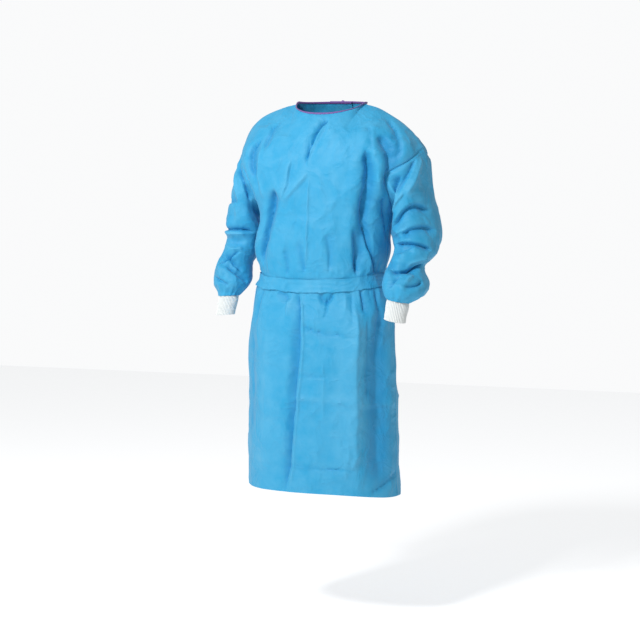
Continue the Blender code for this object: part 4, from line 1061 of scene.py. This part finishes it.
rightSleeve = {
    "mirror": -1.0, "seed": 37,
    "rings": [sleeveRing(*row) for row in (
        ("upper arm", -0.270, 0.006, -0.335, 0.077, 0.096, 44.0, 3),
        ("elbow", -0.288, 0.006, -0.395, 0.063, 0.094, 18.0, 3),
        ("forearm", -0.287, -0.022, -0.448, 0.051, 0.074, 4.0, 3),
        ("tuck", -0.300, -0.046, -0.486, 0.051, 0.064, 2.0, 2),
        ("puff", -0.300, -0.068, -0.548, 0.053, 0.060, 0.0, 3),
        ("end", -0.303, -0.086, -0.588, 0.031, 0.034, -2.0, 3),
    )],
    "folds": [sleeveFold(*row) for row in (
        ("elbow tuck", 0.50, 350, 0.52, 225, 0.016, -0.012),
        ("upper arc", 0.36, 330, 0.32, 270, 0.018, -0.007),
        ("forearm arc", 0.68, 315, 0.74, 225, 0.016, -0.007),
    )],
    "creases": [sleeveCrease(*row) for row in (
        (0.060, 330, 0.065, 262, 0.080, 225, 8, -5.5, 0.68, 1.1),
        (0.040, 345, 0.130, 300, 0.210, 268, 9, 3.3, 0, 1.1),
        (0.310, 345, 0.285, 316, 0.200, 268, 7, -5.0, 0.68, 1.1),
        (0.460, 350, 0.425, 275, 0.350, 218, 7, -8.0, 0.68, 1),
        (0.470, 300, 0.455, 265, 0.420, 235, 8, 3.0, 0, 1),
        (0.640, 305, 0.695, 256, 0.800, 205, 7, -5.0, 0.68, 1.1),
        (0.780, 330, 0.675, 273, 0.600, 240, 7, -4.5, 0.68, 1.1),
        (0.690, 310, 0.750, 290, 0.830, 268, 7, 3.5, 0, 1),
        (0.720, 278, 0.820, 222, 0.900, 185, 7, -5.0, 0.68, 1.1),
        (0.830, 320, 0.860, 280, 0.910, 250, 7, -4.0, 0, 1.1),
        (0.560, 300, 0.580, 265, 0.560, 235, 8, 2.5, 0, 1.1),
        (0.540, 340, 0.600, 318, 0.680, 310, 8, -4.4, 0, 1.1),
        (0.300, 150, 0.330, 110, 0.290, 60, 10, -6.6, 0.68, 1.1),
        (0.450, 165, 0.450, 110, 0.470, 40, 9, -7.7, 0.68, 1.1),
        (0.580, 150, 0.560, 100, 0.600, 40, 9, -5.5, 0.68, 1.1),
        (0.700, 160, 0.720, 100, 0.690, 50, 8, -6.0, 0.68, 1.1),
        (0.080, 40, 0.180, 70, 0.270, 100, 11, -4.4, 0, 1.1),
        (0.820, 120, 0.850, 80, 0.880, 40, 8, -4.4, 0, 1.1),
        (0.180, 200, 0.220, 180, 0.200, 150, 9, -5.5, 0, 1.1),
    )],
}


# The armhole loop of one sleeve: up the front from the underarm, over the tip, down the back.
def armholeLoop(frontEdge, backEdge):
    start = underarmRow
    return np.concatenate([frontEdge[start:-1], backEdge[start + 1:][::-1]])


# A sleeve ring: an ellipse in a leaning plane, centre + cos * across + sin * depth.
def ringLoop(ring, mirror, turns):
    lean = math.radians(ring.lean)
    outward = np.array([mirror * math.cos(lean), 0.0, math.sin(lean)])
    across = np.cos(turns)[:, None] * outward * ring.across
    deep = np.sin(turns)[:, None] * np.array([0.0, 1.0, 0.0]) * ring.depth
    return np.array([ring.x, ring.y, ring.z]) + across + deep


# Bearings of a loop's points from their shares of its length.
def loopTurns(loop):
    lengths = np.linalg.norm(np.diff(np.vstack([loop, loop[:1]]), axis=0), axis=1)
    return math.pi + 2.0 * math.pi * np.concatenate([[0.0], np.cumsum(lengths)[:-1]]) / lengths.sum()


# The ring after the armhole: the loop moved outwards and down, most at the shoulder's tip.
def turnRing(loop, turns, mirror, form):
    over = np.cos(turns)
    across = mirror * (form["turnAcross"][0] - form["turnAcross"][1] * over)
    down = -form["turnDown"][0] - form["turnDown"][1] * over
    way = np.stack([across, np.zeros_like(turns), down], axis=1)
    return loop + unit(way) * form["turnStep"]


# Main folds and creases of a sleeve, on cloth laid out as bearing times girth and length.
def sleeveRelief(sleeve, points, along, turns, length):
    girth = sleeveForm["girthRadius"]
    drift = sleeveForm["drift"] * wander(points, sleeveForm["driftSize"], sleeve["seed"])
    across = np.broadcast_to(turns, points.shape[:2])
    down = np.broadcast_to((along * length)[:, None], points.shape[:2]) + drift
    main = np.zeros(points.shape[:2])
    for fold in sleeve["folds"]:
        middle = math.radians(0.5 * (fold.bearingA + fold.bearingB))
        u = turned(across, middle) * girth
        places = [((math.radians(fold.bearingA) - middle) * girth, fold.alongA * length),
                  (0.0, 0.5 * (fold.alongA + fold.alongB) * length),
                  ((math.radians(fold.bearingB) - middle) * girth, fold.alongB * length)]
        main += creaseHeight(u, down, places, fold.width, fold.rise, lean=0.0, sharp=2.0,
                             tip=sleeveForm["foldTip"])
    fine = np.zeros(points.shape[:2])
    for row in sleeve["creases"]:
        bearings = np.radians([row.b1, row.b2, row.b3])
        u = turned(across, bearings[1]) * girth
        places = list(zip((bearings - bearings[1]) * girth, np.array([row.a1, row.a2, row.a3]) * length))
        fine += creaseHeight(u, down, places, row.width / perMetre,
                             sleeveForm["creaseStrength"] * row.rise / perMetre, row.lean, row.sharp,
                             sleeveForm["flare"])
    return main, fine


gathers = {
    "count": 15, "uneven": 0.3, "rise": (0.0022, 0.0042), "top": (0.72, 0.88), "wide": (0.09, 0.15),
    "sway": (-0.5, 0.5), "fullAt": 0.99, "draw": 0.0012, "drawFrom": 0.85, "drawRamp": 0.1,
    "flatFrom": 0.975, "flatShare": 0.5,
}


# Gathers of the sleeve's end: uneven ridges that run up from the cuff seam and fade out. The
# cloth is drawn in a little under them, and the seam presses them flatter.
def endGathers(sleeve, along, turns):
    random = np.random.default_rng(sleeve["seed"] + 1)
    height = np.zeros((len(along), len(turns)))
    for number in range(gathers["count"]):
        shift = random.uniform(-gathers["uneven"], gathers["uneven"])
        centre = (number + shift) * 2.0 * math.pi / gathers["count"]
        rise = random.uniform(*gathers["rise"])
        top = random.uniform(*gathers["top"])
        wide = random.uniform(*gathers["wide"])
        sway = random.uniform(*gathers["sway"])
        lane = turned(turns[None, :] - sway * (1.0 - along[:, None]), centre)
        strength = fade((along[:, None] - top) / (gathers["fullAt"] - top))
        height += rise * np.exp(-(lane / wide) ** 2) * strength
    flat = fade((along[:, None] - gathers["flatFrom"]) / (1.0 - gathers["flatFrom"]))
    drawn = gathers["draw"] * fade((along[:, None] - gathers["drawFrom"]) / gathers["drawRamp"])
    return (height - drawn) * (1.0 - gathers["flatShare"] * flat)


# A sleeve's outer grid, its normals and the folds' depth: natural cubic columns from the
# armhole through the rings, with the relief added along the normals.
def sleeveCloth(sleeve, loop):
    turns = loopTurns(loop)
    mirror = sleeve["mirror"]
    keys = np.array([loop, turnRing(loop, turns, mirror, sleeveForm)]
                    + [ringLoop(ring, mirror, turns) for ring in sleeve["rings"]])
    knots = rowKnots(keys)
    first = np.linspace(0.0, knots[1], sleeveForm["firstRows"])
    places = rowPlaces(first, knots[1:], sleeve["rings"], sleeveForm["rowsPerStep"])
    grid = spline(knots, keys, places)
    normals = gridNormals(grid, True) * -mirror
    along = places / places[-1]
    main, fine = sleeveRelief(sleeve, grid, along, turns, places[-1])
    calm = sleeveForm["calm"]
    free = fade(along / calm)[:, None] * (1.0 - fade((along - (1.0 - calm)) / calm))[:, None]
    height = (main + fine + crumpleRelief(grid, sleeveForm["crumple"])) * free
    height += endGathers(sleeve, along, turns)
    height += seamRelief(places)[:, None]
    grid[1:] += normals[1:] * height[1:, :, None]
    return grid, gridNormals(grid, True) * -mirror, sleeveForm["foldTint"] * main + fine


# One normal for the armhole edges of the two panels and the sleeve's first ring.
def joinArmhole(frontNormals, frontColumn, backNormals, sleeveNormals):
    start = underarmRow
    count = frontNormals.shape[0] - start
    front = frontNormals[start:, frontColumn]
    back = backNormals[start:, 0]
    total = unit(np.concatenate([front[:-1], back[1:][::-1]]) + sleeveNormals[0])
    sleeveNormals[0] = total
    frontNormals[start:, frontColumn] = total[:count]
    backNormals[start:, 0] = np.concatenate([total[:1], total[:count - 2:-1]])


ribCuff = {
    "length": 0.066, "forward": 0.45, "seam": -0.004, "wall": 0.0012,
    "sizes": [(0.0, 0.93), (0.3, 0.95), (0.65, 0.92), (1.0, 0.91)],
    "ribs": 40,        # real ribs are about 3 mm apart, drawn at 5 mm
    "ribRise": 0.0006, "rows": 44, "columns": 400,
    "wrinkle": 0.0011, "wrinkleSize": 0.022, "wrinkleStretch": 2.2, "calm": 0.05,
}


# A knitted cuff: the sleeve's last ring carried towards the hand and narrowed, with ribs
# rise * cos(ribs * bearing) round it.
def cuffCloth(sleeve, cuff):
    ring = sleeve["rings"][-1]
    mirror = sleeve["mirror"]
    turns = math.pi + 2.0 * math.pi * np.arange(cuff["columns"]) / cuff["columns"]
    toHand = unit(np.array([0.0, -cuff["forward"], -1.0]))
    loop = ringLoop(ring, mirror, turns)
    middle = loop.mean(axis=0)
    shares = np.linspace(0.0, 1.0, cuff["rows"])
    sizes = spline(np.array([share for share, _ in cuff["sizes"]]),
                   np.array([[size] for _, size in cuff["sizes"]]), shares)[:, 0]
    centre = middle + toHand * (cuff["seam"] + shares[:, None] * cuff["length"])
    grid = centre[:, None] + (loop - middle)[None] * sizes[:, None, None]
    normals = gridNormals(grid, True) * -mirror
    random = np.random.default_rng(sleeve["seed"] + 5)
    wrinkle = cuff["wrinkle"] * wander(grid * np.array([1.0, 1.0, cuff["wrinkleStretch"]]),
                                       cuff["wrinkleSize"], sleeve["seed"] + 6)
    lane = turns * cuff["ribs"] + random.uniform(0.0, 6.0)
    ribs = cuff["ribRise"] * np.cos(lane)[None, :] * np.ones((cuff["rows"], 1))
    ends = bothEnds(shares, cuff["calm"])[:, None]
    grid = grid + normals * (ribs + wrinkle * ends)[..., None]
    return grid, gridNormals(grid, True) * -mirror, ribs


sleeveGrids = {}
for side, sleeve, frontColumn in (("left", leftSleeve, 0), ("right", rightSleeve, -1)):
    loop = armholeLoop(grids["front"][:, frontColumn], grids[side][:, 0])
    grid, sleeveNormals, depth = sleeveCloth(sleeve, loop)
    joinArmhole(normals["front"], frontColumn, normals[side], sleeveNormals)
    sleeveGrids[side] = (grid, sleeveNormals)
    piece = addShell("sleeveCloth_" + side, grid, sleeveNormals, bodyShape["thickness"], gownCloth,
                     closed=True, flip=sleeve["mirror"] > 0, depth=depth)
    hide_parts("sleeve_" + side)
    cuffGrid, cuffNormals, ribs = cuffCloth(sleeve, ribCuff)
    cuffPiece = addShell("cuffKnit_" + side, cuffGrid, cuffNormals, ribCuff["wall"], ribKnit,
                         closed=True, flip=sleeve["mirror"] > 0, depth=ribs)
    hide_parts("cuff_" + side)
print("sleeves and cuffs made")

frontPiece = addShell("frontPanelCloth", grids["front"], normals["front"], bodyShape["thickness"],
                      gownCloth, flip=True, depth=depths["front"])
leftPiece = addShell("backPanelCloth_left", grids["left"], normals["left"], bodyShape["thickness"],
                     gownCloth, depth=depths["left"])
rightPiece = addShell("backPanelCloth_right", grids["right"], normals["right"], bodyShape["thickness"],
                      gownCloth, flip=True, depth=depths["right"])
for piece, node, flat in ((frontPiece, "front_panel", (0.72, 1.19)), (leftPiece, "back_left", (0.42, 1.19)),
                          (rightPiece, "back_right", (0.42, 1.19))):
    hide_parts(node)
print("body panels made")

beltStrip = {
    "clearance": 0.0018, "thickness": 0.0005, "endGap": 0.0015,
    "edgeSway": 0.0026,       # how far the edges wander up and down
    "edgeLift": 0.0018,       # how far they stand off in places
    "swaySize": 0.05, "widthSway": 0.0012, "widthSize": 0.035, "edgePower": 3, "liftFrom": 0.4,
    "liftSize": 0.04, "pinch": 0.0016, "pinchSize": 0.018, "pinchStretch": 0.35, "pinchLeast": -0.0004,
    "tuck": 0.0022, "tuckSize": 0.02, "tuckStretch": (0.4, 1.6), "tuckPower": 3, "seed": 41,
}


# One back's part of the belt: its columns from the side seam to the belt's end by the knot.
def beltSide(name, belt, extra):
    shares = backFractions(beltFoot)
    inside = shares <= 0.5 - belt["endGap"]
    lifts = (belt["clearance"] + extra)[None, :, None]
    moved = grids[name][beltRows] + normals[name][beltRows] * lifts
    return moved[:, inside], normals[name][beltRows][:, inside]


# The belt's outer grid on the body's cloth: from the knot over the left back, the front and the
# right back to the knot again. Its edges sway in height and stand off here and there.
def beltCloth(belt):
    lifts = layerLift(backFractions(beltFoot))
    left, leftNormals = beltSide("left", belt, lifts * 0.0)
    right, rightNormals = beltSide("right", belt, lifts * 2.0)
    frontNormals = normals["front"][beltRows]
    front = grids["front"][beltRows] + frontNormals * belt["clearance"]
    grid = np.concatenate([left[:, :0:-1], front, right[:, 1:]], axis=1)
    normal = np.concatenate([leftNormals[:, :0:-1], frontNormals, rightNormals[:, 1:]], axis=1)
    up = np.linspace(-1.0, 1.0, grid.shape[0])[:, None]
    middle = grid.mean(axis=0)[None]
    seed = belt["seed"]
    sway = wander(middle, belt["swaySize"], seed)
    grid[..., 2] += (belt["edgeSway"] * sway
                     + belt["widthSway"] * up * wander(middle, belt["widthSize"], seed + 1))
    edge = np.abs(up) ** belt["edgePower"]
    lift = belt["edgeLift"] * edge * fade(belt["liftFrom"] + wander(grid, belt["liftSize"], seed + 2))
    pinched = grid * np.array([1.0, 1.0, belt["pinchStretch"]])
    pinch = belt["pinch"] * wander(pinched, belt["pinchSize"], seed + 3)
    flat, tall = belt["tuckStretch"]
    tucked = wander(grid * np.array([flat, flat, tall]), belt["tuckSize"], seed + 4)
    tuck = belt["tuck"] * (1.0 - np.abs(tucked)) ** belt["tuckPower"]
    grid = grid + normal * (lift + np.maximum(pinch, belt["pinchLeast"]) + tuck)[..., None]
    return grid, normal, pinch + tuck


beltGrid, beltNormals, beltDepth = beltCloth(beltStrip)
piece = addShell("beltStrip", beltGrid, beltNormals, beltStrip["thickness"], gownCloth, flip=True,
                 depth=beltDepth)
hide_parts("belt")
print("belt made")

neckStrip = {
    "height": 0.0070, "thickness": 0.0030, "wall": 0.0006, "seam": 0.0006, "overlap": 0.0008,
    "inset": 0.00025, "evening": 80,    # passes that smooth its way over the shoulder seams
    "legPoints": 4, "turnPoints": 11,
    # puckers: share of its half width, length of one, and for the first the drift of its phase
    "pucker": (0.14, 0.0065), "puckerDrift": (3.0, 0.031), "slowPucker": (0.12, 0.017),
}


# The neck edge from the right back's end over the front to the left back's end: its points,
# their outward normals, and the way in which the cloth runs out at the edge.
def neckEdge():
    fine = bodyShape["columnsPerStep"]
    first = bodyShape["shoulderColumns"] * fine
    last = first + bodyShape["neckColumns"] * fine
    parts = [("right", slice(None, first, -1)), ("front", slice(last, first - 1, -1)),
             ("left", slice(first + 1, None))]
    points = np.concatenate([grids[name][-1, columns] for name, columns in parts])
    outward = np.concatenate([normals[name][-1, columns] for name, columns in parts])
    leaving = np.concatenate([unit(grids[name][-1, columns] - grids[name][-3, columns])
                              for name, columns in parts])
    for _ in range(neckStrip["evening"]):
        leaving[1:-1] = unit(leaving[:-2] + 2.0 * leaving[1:-1] + leaving[2:])
        outward[1:-1] = unit(outward[:-2] + 2.0 * outward[1:-1] + outward[2:])
    return points, outward, leaving


# The binding's profile, an upturned U: two flat legs and a half round fold between them, r the
# outer half width and r minus the strip's thickness the inner one.
def bindingProfile(strip):
    radius = strip["thickness"] / 2.0
    leg = np.linspace(0.0, strip["height"] - radius, strip["legPoints"])
    turn = np.linspace(0.0, math.pi, strip["turnPoints"])
    sides = []
    for size in (radius, radius - strip["wall"]):
        straight = np.full(len(leg) - 1, size)
        wide = np.concatenate([straight, size * np.cos(turn), -straight])
        tall = np.concatenate([leg[:-1], leg[-1] + size * np.sin(turn), leg[-2::-1]])
        sides.append(np.stack([wide, tall], axis=1))
    return np.concatenate([sides[0], sides[1][::-1]])[::-1]


# The binding, a strip folded over the edge and carried along it, with small puckers.
def bindingRings(strip):
    points, outward, leaving = neckEdge()
    base = points - outward * strip["inset"] + leaving * (strip["seam"] - strip["overlap"])
    profile = bindingProfile(strip)
    run = runLengths(points)
    deep, pitch = strip["pucker"]
    drift, driftLength = strip["puckerDrift"]
    slow, slowPitch = strip["slowPucker"]
    pucker = (1.0 + deep * np.sin(run / pitch * 2.0 * math.pi + drift * np.sin(run / driftLength))
              + slow * np.sin(run / slowPitch * 2.0 * math.pi))
    wide = profile[None, :, 0] * pucker[:, None]
    tall = profile[None, :, 1, None]
    return base[:, None] + outward[:, None] * wide[..., None] + leaving[:, None] * tall, outward


# A closed tube through rings of points, with a fan of faces at each end.
def addTube(name, rings, material, depth=None):
    count, sides = rings.shape[:2]
    corners = cellCorners(count, sides, True)
    index = corners[..., 0] * sides + corners[..., 1] % sides
    middle = count * sides
    around = np.arange(sides)
    first = np.stack([(around + 1) % sides, around, np.full(sides, middle)], axis=1)
    last = np.stack([around + middle - sides, (around + 1) % sides + middle - sides,
                     np.full(sides, middle + 1)], axis=1)
    vertices = np.concatenate([rings.reshape(-1, 3), rings[0].mean(axis=0)[None],
                               rings[-1].mean(axis=0)[None]])
    mesh = smoothMesh(name, vertices, index.tolist() + first.tolist() + last.tolist())
    if depth is not None:
        addDepth(mesh, np.concatenate([depth.ravel(), [0.0, 0.0]]))
    return addPiece(name, mesh, material)


rings, neckOutward = bindingRings(neckStrip)
piece = addTube("neckBinding", rings, bindingCloth)
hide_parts("neck_binding")
print("neck binding made")

tieKnots = {
    "rows": 40, "columns": 64, "top": 1.38,          # top: latitude where the round ends
    "bandLean": 0.25, "bandWidth": 0.42, "pleatPhase": 1.3, "twist": (0.5, 9.0, 2.0),
    "waist": 0.10, "rough": 0.0009, "roughSize": 0.008,
    "belt": {"node": "belt_knot", "slot": "gown_cloth", "pleat": 0.0011, "wraps": 5.0, "seed": 51},
    "neck": {"node": "neck_knot", "slot": "neck_binding", "pleat": 0.0005, "wraps": 3.0, "seed": 52},
}


# A tied knot inside its solid's box: a soft ellipsoid with a band wrapped across its middle
# (a ridge of the form exp(-(x / w)^4)) and pleats that run into it from both sides.
def addKnot(name, knot, material):
    low, high = (np.array(corner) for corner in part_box(knot["node"]))
    middle = (low + high) / 2.0
    size = (high - low) / 2.0
    top, columns = tieKnots["top"], tieKnots["columns"]
    latitude = np.linspace(-top, top, tieKnots["rows"])[:, None]
    longitude = (np.arange(columns) * 2.0 * math.pi / columns)[None, :]
    across = np.cos(latitude) * np.cos(longitude)
    deep = np.cos(latitude) * np.sin(longitude) * np.ones_like(across)
    tall = np.sin(latitude) / math.sin(top) * np.ones_like(across)
    band = np.exp(-((across + tieKnots["bandLean"] * tall) / tieKnots["bandWidth"]) ** 4)
    pleats = np.cos(knot["wraps"] * 2.0 * tall + tieKnots["pleatPhase"] * np.sign(across)) * (1.0 - band)
    share, turns, lean = tieKnots["twist"]
    twist = share * np.cos(turns * across + lean * tall) * band
    shape = np.stack([across, deep, tall], axis=-1)
    soft = unit(shape)
    waisted = 1.0 - tieKnots["waist"] * (1.0 - band)
    folds = (pleats + twist) * knot["pleat"]
    rings = middle + shape * size * waisted[..., None] + soft * folds[..., None]
    rough = tieKnots["rough"] * wander(rings, tieKnots["roughSize"], knot["seed"])
    rings += soft * rough[..., None]
    piece = addTube(name, rings, material, folds)
    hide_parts(knot["node"])
    return middle, size


beltMiddle, beltSize = addKnot("beltKnot", tieKnots["belt"], gownCloth)
neckMiddle, neckSize = addKnot("neckKnot", tieKnots["neck"], bindingCloth)

tieEnds = {
    "gather": 0.35, "clearance": 0.0042, "rows": 70, "columns": 25, "thickness": 0.0005,
    "under": 0.0004,         # how far under the knot an end starts
    "widening": 2.2, "swingPower": 0.8, "evening": 6, "settling": 3.0, "pleats": 3.0, "pleatFade": 1.4,
    "curlTurns": 5.0, "curlFade": 2.0, "tipFrom": 0.8, "tipLift": 0.5,
    "window": 0.006, "margin": 0.02,    # how near cloth must be to hold an end off
    "belt": {"width": 0.038, "lengths": {"left": 0.27, "right": 0.245},
             "swings": {"left": 0.045, "right": 0.052}, "offset": 0.55, "pleat": 0.0016, "curl": 0.004},
    "neck": {"width": 0.010, "lengths": {"left": 0.17, "right": 0.155},
             "swings": {"left": 0.022, "right": 0.022}, "offset": 0.4, "pleat": 0.0004, "curl": 0.002},
}


# How far back the two back layers reach within a few millimetres of each (x, z).
def backReach(x, z):
    window, margin = tieEnds["window"], tieEnds["margin"]
    cloth = np.concatenate([grids["left"].reshape(-1, 3), grids["right"].reshape(-1, 3)])
    near = ((np.abs(cloth[:, 0] - x.mean()) < np.ptp(x) / 2.0 + margin)
            & (cloth[:, 2] > z.min() - margin) & (cloth[:, 2] < z.max() + margin))
    cloth = cloth[near]
    apart = (np.abs(x.ravel()[:, None] - cloth[None, :, 0]) < window) \
        & (np.abs(z.ravel()[:, None] - cloth[None, :, 2]) < window)
    return np.where(apart, cloth[None, :, 1], -1.0).max(axis=1).reshape(x.shape)


# A tie's free end: a strip that leaves the knot narrow and pleated, widens and hangs down the
# back a few millimetres off the cloth, with its tip turned a little aside.
def addTieEnd(name, kind, side, middle, size, material, node):
    ends = tieEnds[kind]
    mirror = 1.0 if side == "left" else -1.0
    share = np.linspace(0.0, 1.0, tieEnds["rows"])[:, None]
    across = np.linspace(-1.0, 1.0, tieEnds["columns"])[None, :]
    start = middle + np.array([mirror * size[0] * ends["offset"], 0.0, -size[2] - tieEnds["under"]])
    widened = tieEnds["gather"] + (1.0 - tieEnds["gather"]) * fade(share * tieEnds["widening"])
    swing = mirror * ends["swings"][side] * share ** tieEnds["swingPower"]
    x = start[0] + swing + ends["width"] / 2.0 * widened * across
    z = start[2] - ends["lengths"][side] * share + 0.0 * across
    rest = backReach(x, z) + tieEnds["clearance"]
    for _ in range(tieEnds["evening"]):
        rest[1:-1] = (rest[:-2] + 2.0 * rest[1:-1] + rest[2:]) / 4.0
        rest[:, 1:-1] = (rest[:, :-2] + 2.0 * rest[:, 1:-1] + rest[:, 2:]) / 4.0
    settle = fade(share * tieEnds["settling"])
    y = np.maximum(start[1] * (1.0 - settle) + rest * settle, rest)
    pleats = (ends["pleat"] * np.cos(across * tieEnds["pleats"] * math.pi)
              * (1.0 - fade(share * tieEnds["pleatFade"])))
    curl = (ends["curl"] * across * np.sin(share * tieEnds["curlTurns"] + mirror)
            * fade(share * tieEnds["curlFade"]))
    tip = fade((share - tieEnds["tipFrom"]) / (1.0 - tieEnds["tipFrom"]))
    y = y + pleats + np.abs(curl) + ends["curl"] * tieEnds["tipLift"] * tip
    grid = np.stack([x, y, z], axis=-1)[::-1, ::-1]
    outward = gridNormals(grid)
    outward = np.where(outward[..., 1:2] < 0.0, -outward, outward)
    piece = addShell(name, grid, outward, tieEnds["thickness"], material, depth=pleats[::-1, ::-1])
    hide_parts(node)


for side in ("left", "right"):
    addTieEnd("beltEnd_" + side, "belt", side, beltMiddle, beltSize, gownCloth, "belt_tail_" + side)
    addTieEnd("neckTieEnd_" + side, "neck", side, neckMiddle, neckSize, bindingCloth, "neck_tail_" + side)
print("knots and ties made")

sewing = {
    "pitch": 0.0050, "length": 0.0032, "radius": 0.00032, "sides": 6, "rings": 5, "tip": 0.98,
    "lift": 0.0001, "step": 0.0008,     # step: how far along the line its direction is taken
    "sleeveRow": 3, "edge": 2, "legFromMiddle": 15,    # grid lines that the stitches follow
}


# A row of stitches along a line on the cloth: each one a bead whose radius is
# r * (1 - t^4) along its length, set half into the cloth.
def stitchRow(points, outward, sew):
    run = runLengths(points)
    count = max(int(run[-1] / sew["pitch"]), 2)
    along = (np.arange(count) + 0.5) * run[-1] / count

    def read(values, places):
        return np.stack([np.interp(places, run, values[:, axis]) for axis in range(3)], axis=1)

    at = read(points, along)
    up = unit(read(outward, along))
    way = unit(read(points, along + sew["step"]) - read(points, along - sew["step"]))
    side = unit(np.cross(way, up))
    t = np.linspace(-sew["tip"], sew["tip"], sew["rings"])
    turns = np.arange(sew["sides"]) * 2.0 * math.pi / sew["sides"]
    swell = sew["radius"] * (1.0 - t ** 4)
    ring = (np.cos(turns)[None, :, None] * side[:, None, None]
            + np.sin(turns)[None, :, None] * up[:, None, None])
    beads = (at[:, None, None] + way[:, None, None] * (t * sew["length"] / 2.0)[None, :, None, None]
             + ring * swell[None, :, None, None] + up[:, None, None] * sew["lift"])
    corners = cellCorners(len(t), sew["sides"], True)
    cells = corners[..., 0] * sew["sides"] + corners[..., 1] % sew["sides"]
    size = len(t) * sew["sides"]
    faces = (cells[None] + (np.arange(count) * size)[:, None, None]).reshape(-1, 4)
    caps = np.stack([np.arange(sew["sides"])[::-1], np.arange(sew["sides"]) + size - sew["sides"]])
    capFaces = (caps[None] + (np.arange(count) * size)[:, None, None]).reshape(-1, sew["sides"])
    return beads.reshape(-1, 3), faces, capFaces


# One piece of sewing from several rows of stitches.
def addStitches(name, rows, material):
    vertices, faces, offset = [], [], 0
    for points, outward in rows:
        beads, sides, caps = stitchRow(points, outward, sewing)
        vertices.append(beads)
        faces += (sides + offset).tolist() + (caps + offset).tolist()
        offset += len(beads)
    return addPiece(name, smoothMesh(name, np.concatenate(vertices), faces), material)


edge = sewing["edge"]
for side, frontColumn in (("left", edge), ("right", -1 - edge)):
    row = sewing["sleeveRow"]
    rows = [tuple(np.vstack([values[row], values[row][:1]]) for values in sleeveGrids[side])]
    top = underarmRow
    rows.append((grids["front"][top:, frontColumn], normals["front"][top:, frontColumn]))
    rows.append((grids[side][top:, edge], normals[side][top:, edge]))
    addStitches("armholeStitches_" + side, rows, bodyThread)
    rows = [(grids[side][edge:top, edge], normals[side][edge:top, edge])]
    shoulder = bodyShape["shoulderColumns"] * bodyShape["columnsPerStep"]
    rows.append((grids[side][-1 - edge, 1:shoulder], normals[side][-1 - edge, 1:shoulder]))
    addStitches("seamStitches_" + side, rows, bodyThread)
legs = rings[:, rings.shape[1] // 2 + sewing["legFromMiddle"]]
addStitches("bindingStitches", [(legs, neckOutward)], neckThread)
print("sewing made")

stage = {
    "floor": -1.56, "size": 7.0, "floorColour": "#f4f5f6", "roughness": 0.8,
    "glow": 0.36, "seenGlow": 0.19,
}


# The pale floor that the gown hangs over.
def makeStage(stage):
    half = stage["size"]
    corners = [(x * half, y * half, stage["floor"]) for x, y in ((-1, -1), (1, -1), (1, 1), (-1, 1))]
    mesh = bpy.data.meshes.new("floor")
    mesh.from_pydata(corners, [], [(0, 1, 2, 3)])
    mesh.update()
    material, tree, shader = newMaterial("paleStudioFloor", stage)
    shader.inputs["Base Color"].default_value = linear(stage["floorColour"])
    shader.inputs["Emission Color"].default_value = linear(stage["floorColour"])
    # the floor glows a little, and the camera sees it glow more, so that it ends softly
    path = addNode(tree, "ShaderNodeLightPath", {})
    glow = addNode(tree, "ShaderNodeMath", {0: path.outputs["Is Camera Ray"], 1: stage["seenGlow"],
                                            2: stage["glow"]}, operation="MULTIPLY_ADD")
    tree.links.new(glow.outputs["Value"], shader.inputs["Emission Strength"])
    mesh.materials.append(material)
    floor = addObject("floor", mesh)


backdrop = {"light": 0.42, "seen": (0.955, 0.96, 0.965, 1.0)}    # its light, and what the camera sees
aimHeight = -0.65
lights = {
    # name: (azimuth, elevation, distance, size, power in watts)
    "key": (-10.0, 40.0, 4.0, 0.7, 114.0),
    "side": (-75.0, 25.0, 4.2, 1.4, 12.0),
}


# Round lamps at an azimuth and elevation, each turned to the aim, and a pale world.
def makeLights(lights):
    aim = Vector((0.0, 0.0, aimHeight))
    for name, (azimuth, elevation, distance, size, power) in lights.items():
        data = bpy.data.lights.new(name, "AREA")
        data.shape = "DISK"
        data.size = size
        data.energy = power
        lamp = addObject(name, data)
        turn, rise = math.radians(azimuth), math.radians(elevation)
        way = Vector((math.sin(turn) * math.cos(rise), -math.cos(turn) * math.cos(rise), math.sin(rise)))
        lamp.location = aim + way * distance
        lamp.rotation_euler = (-way).to_track_quat("-Z", "Y").to_euler()
    world = bpy.data.worlds.new("studio")
    world.use_nodes = True
    tree = world.node_tree
    background = tree.nodes["Background"]
    background.inputs["Color"].default_value = (1.0, 1.0, 1.0, 1.0)
    background.inputs["Strength"].default_value = backdrop["light"]
    seen = addNode(tree, "ShaderNodeBackground", {"Color": backdrop["seen"], "Strength": 1.0})
    path = addNode(tree, "ShaderNodeLightPath", {})
    mixed = addNode(tree, "ShaderNodeMixShader", {0: path.outputs["Is Camera Ray"],
                                                  1: background.outputs["Background"],
                                                  2: seen.outputs["Background"]})
    tree.links.new(mixed.outputs["Shader"], tree.nodes["World Output"].inputs["Surface"])
    bpy.context.scene.world = world
    bpy.context.scene.view_settings.view_transform = "Standard"


makeStage(stage)
makeLights(lights)
print("scene ready")
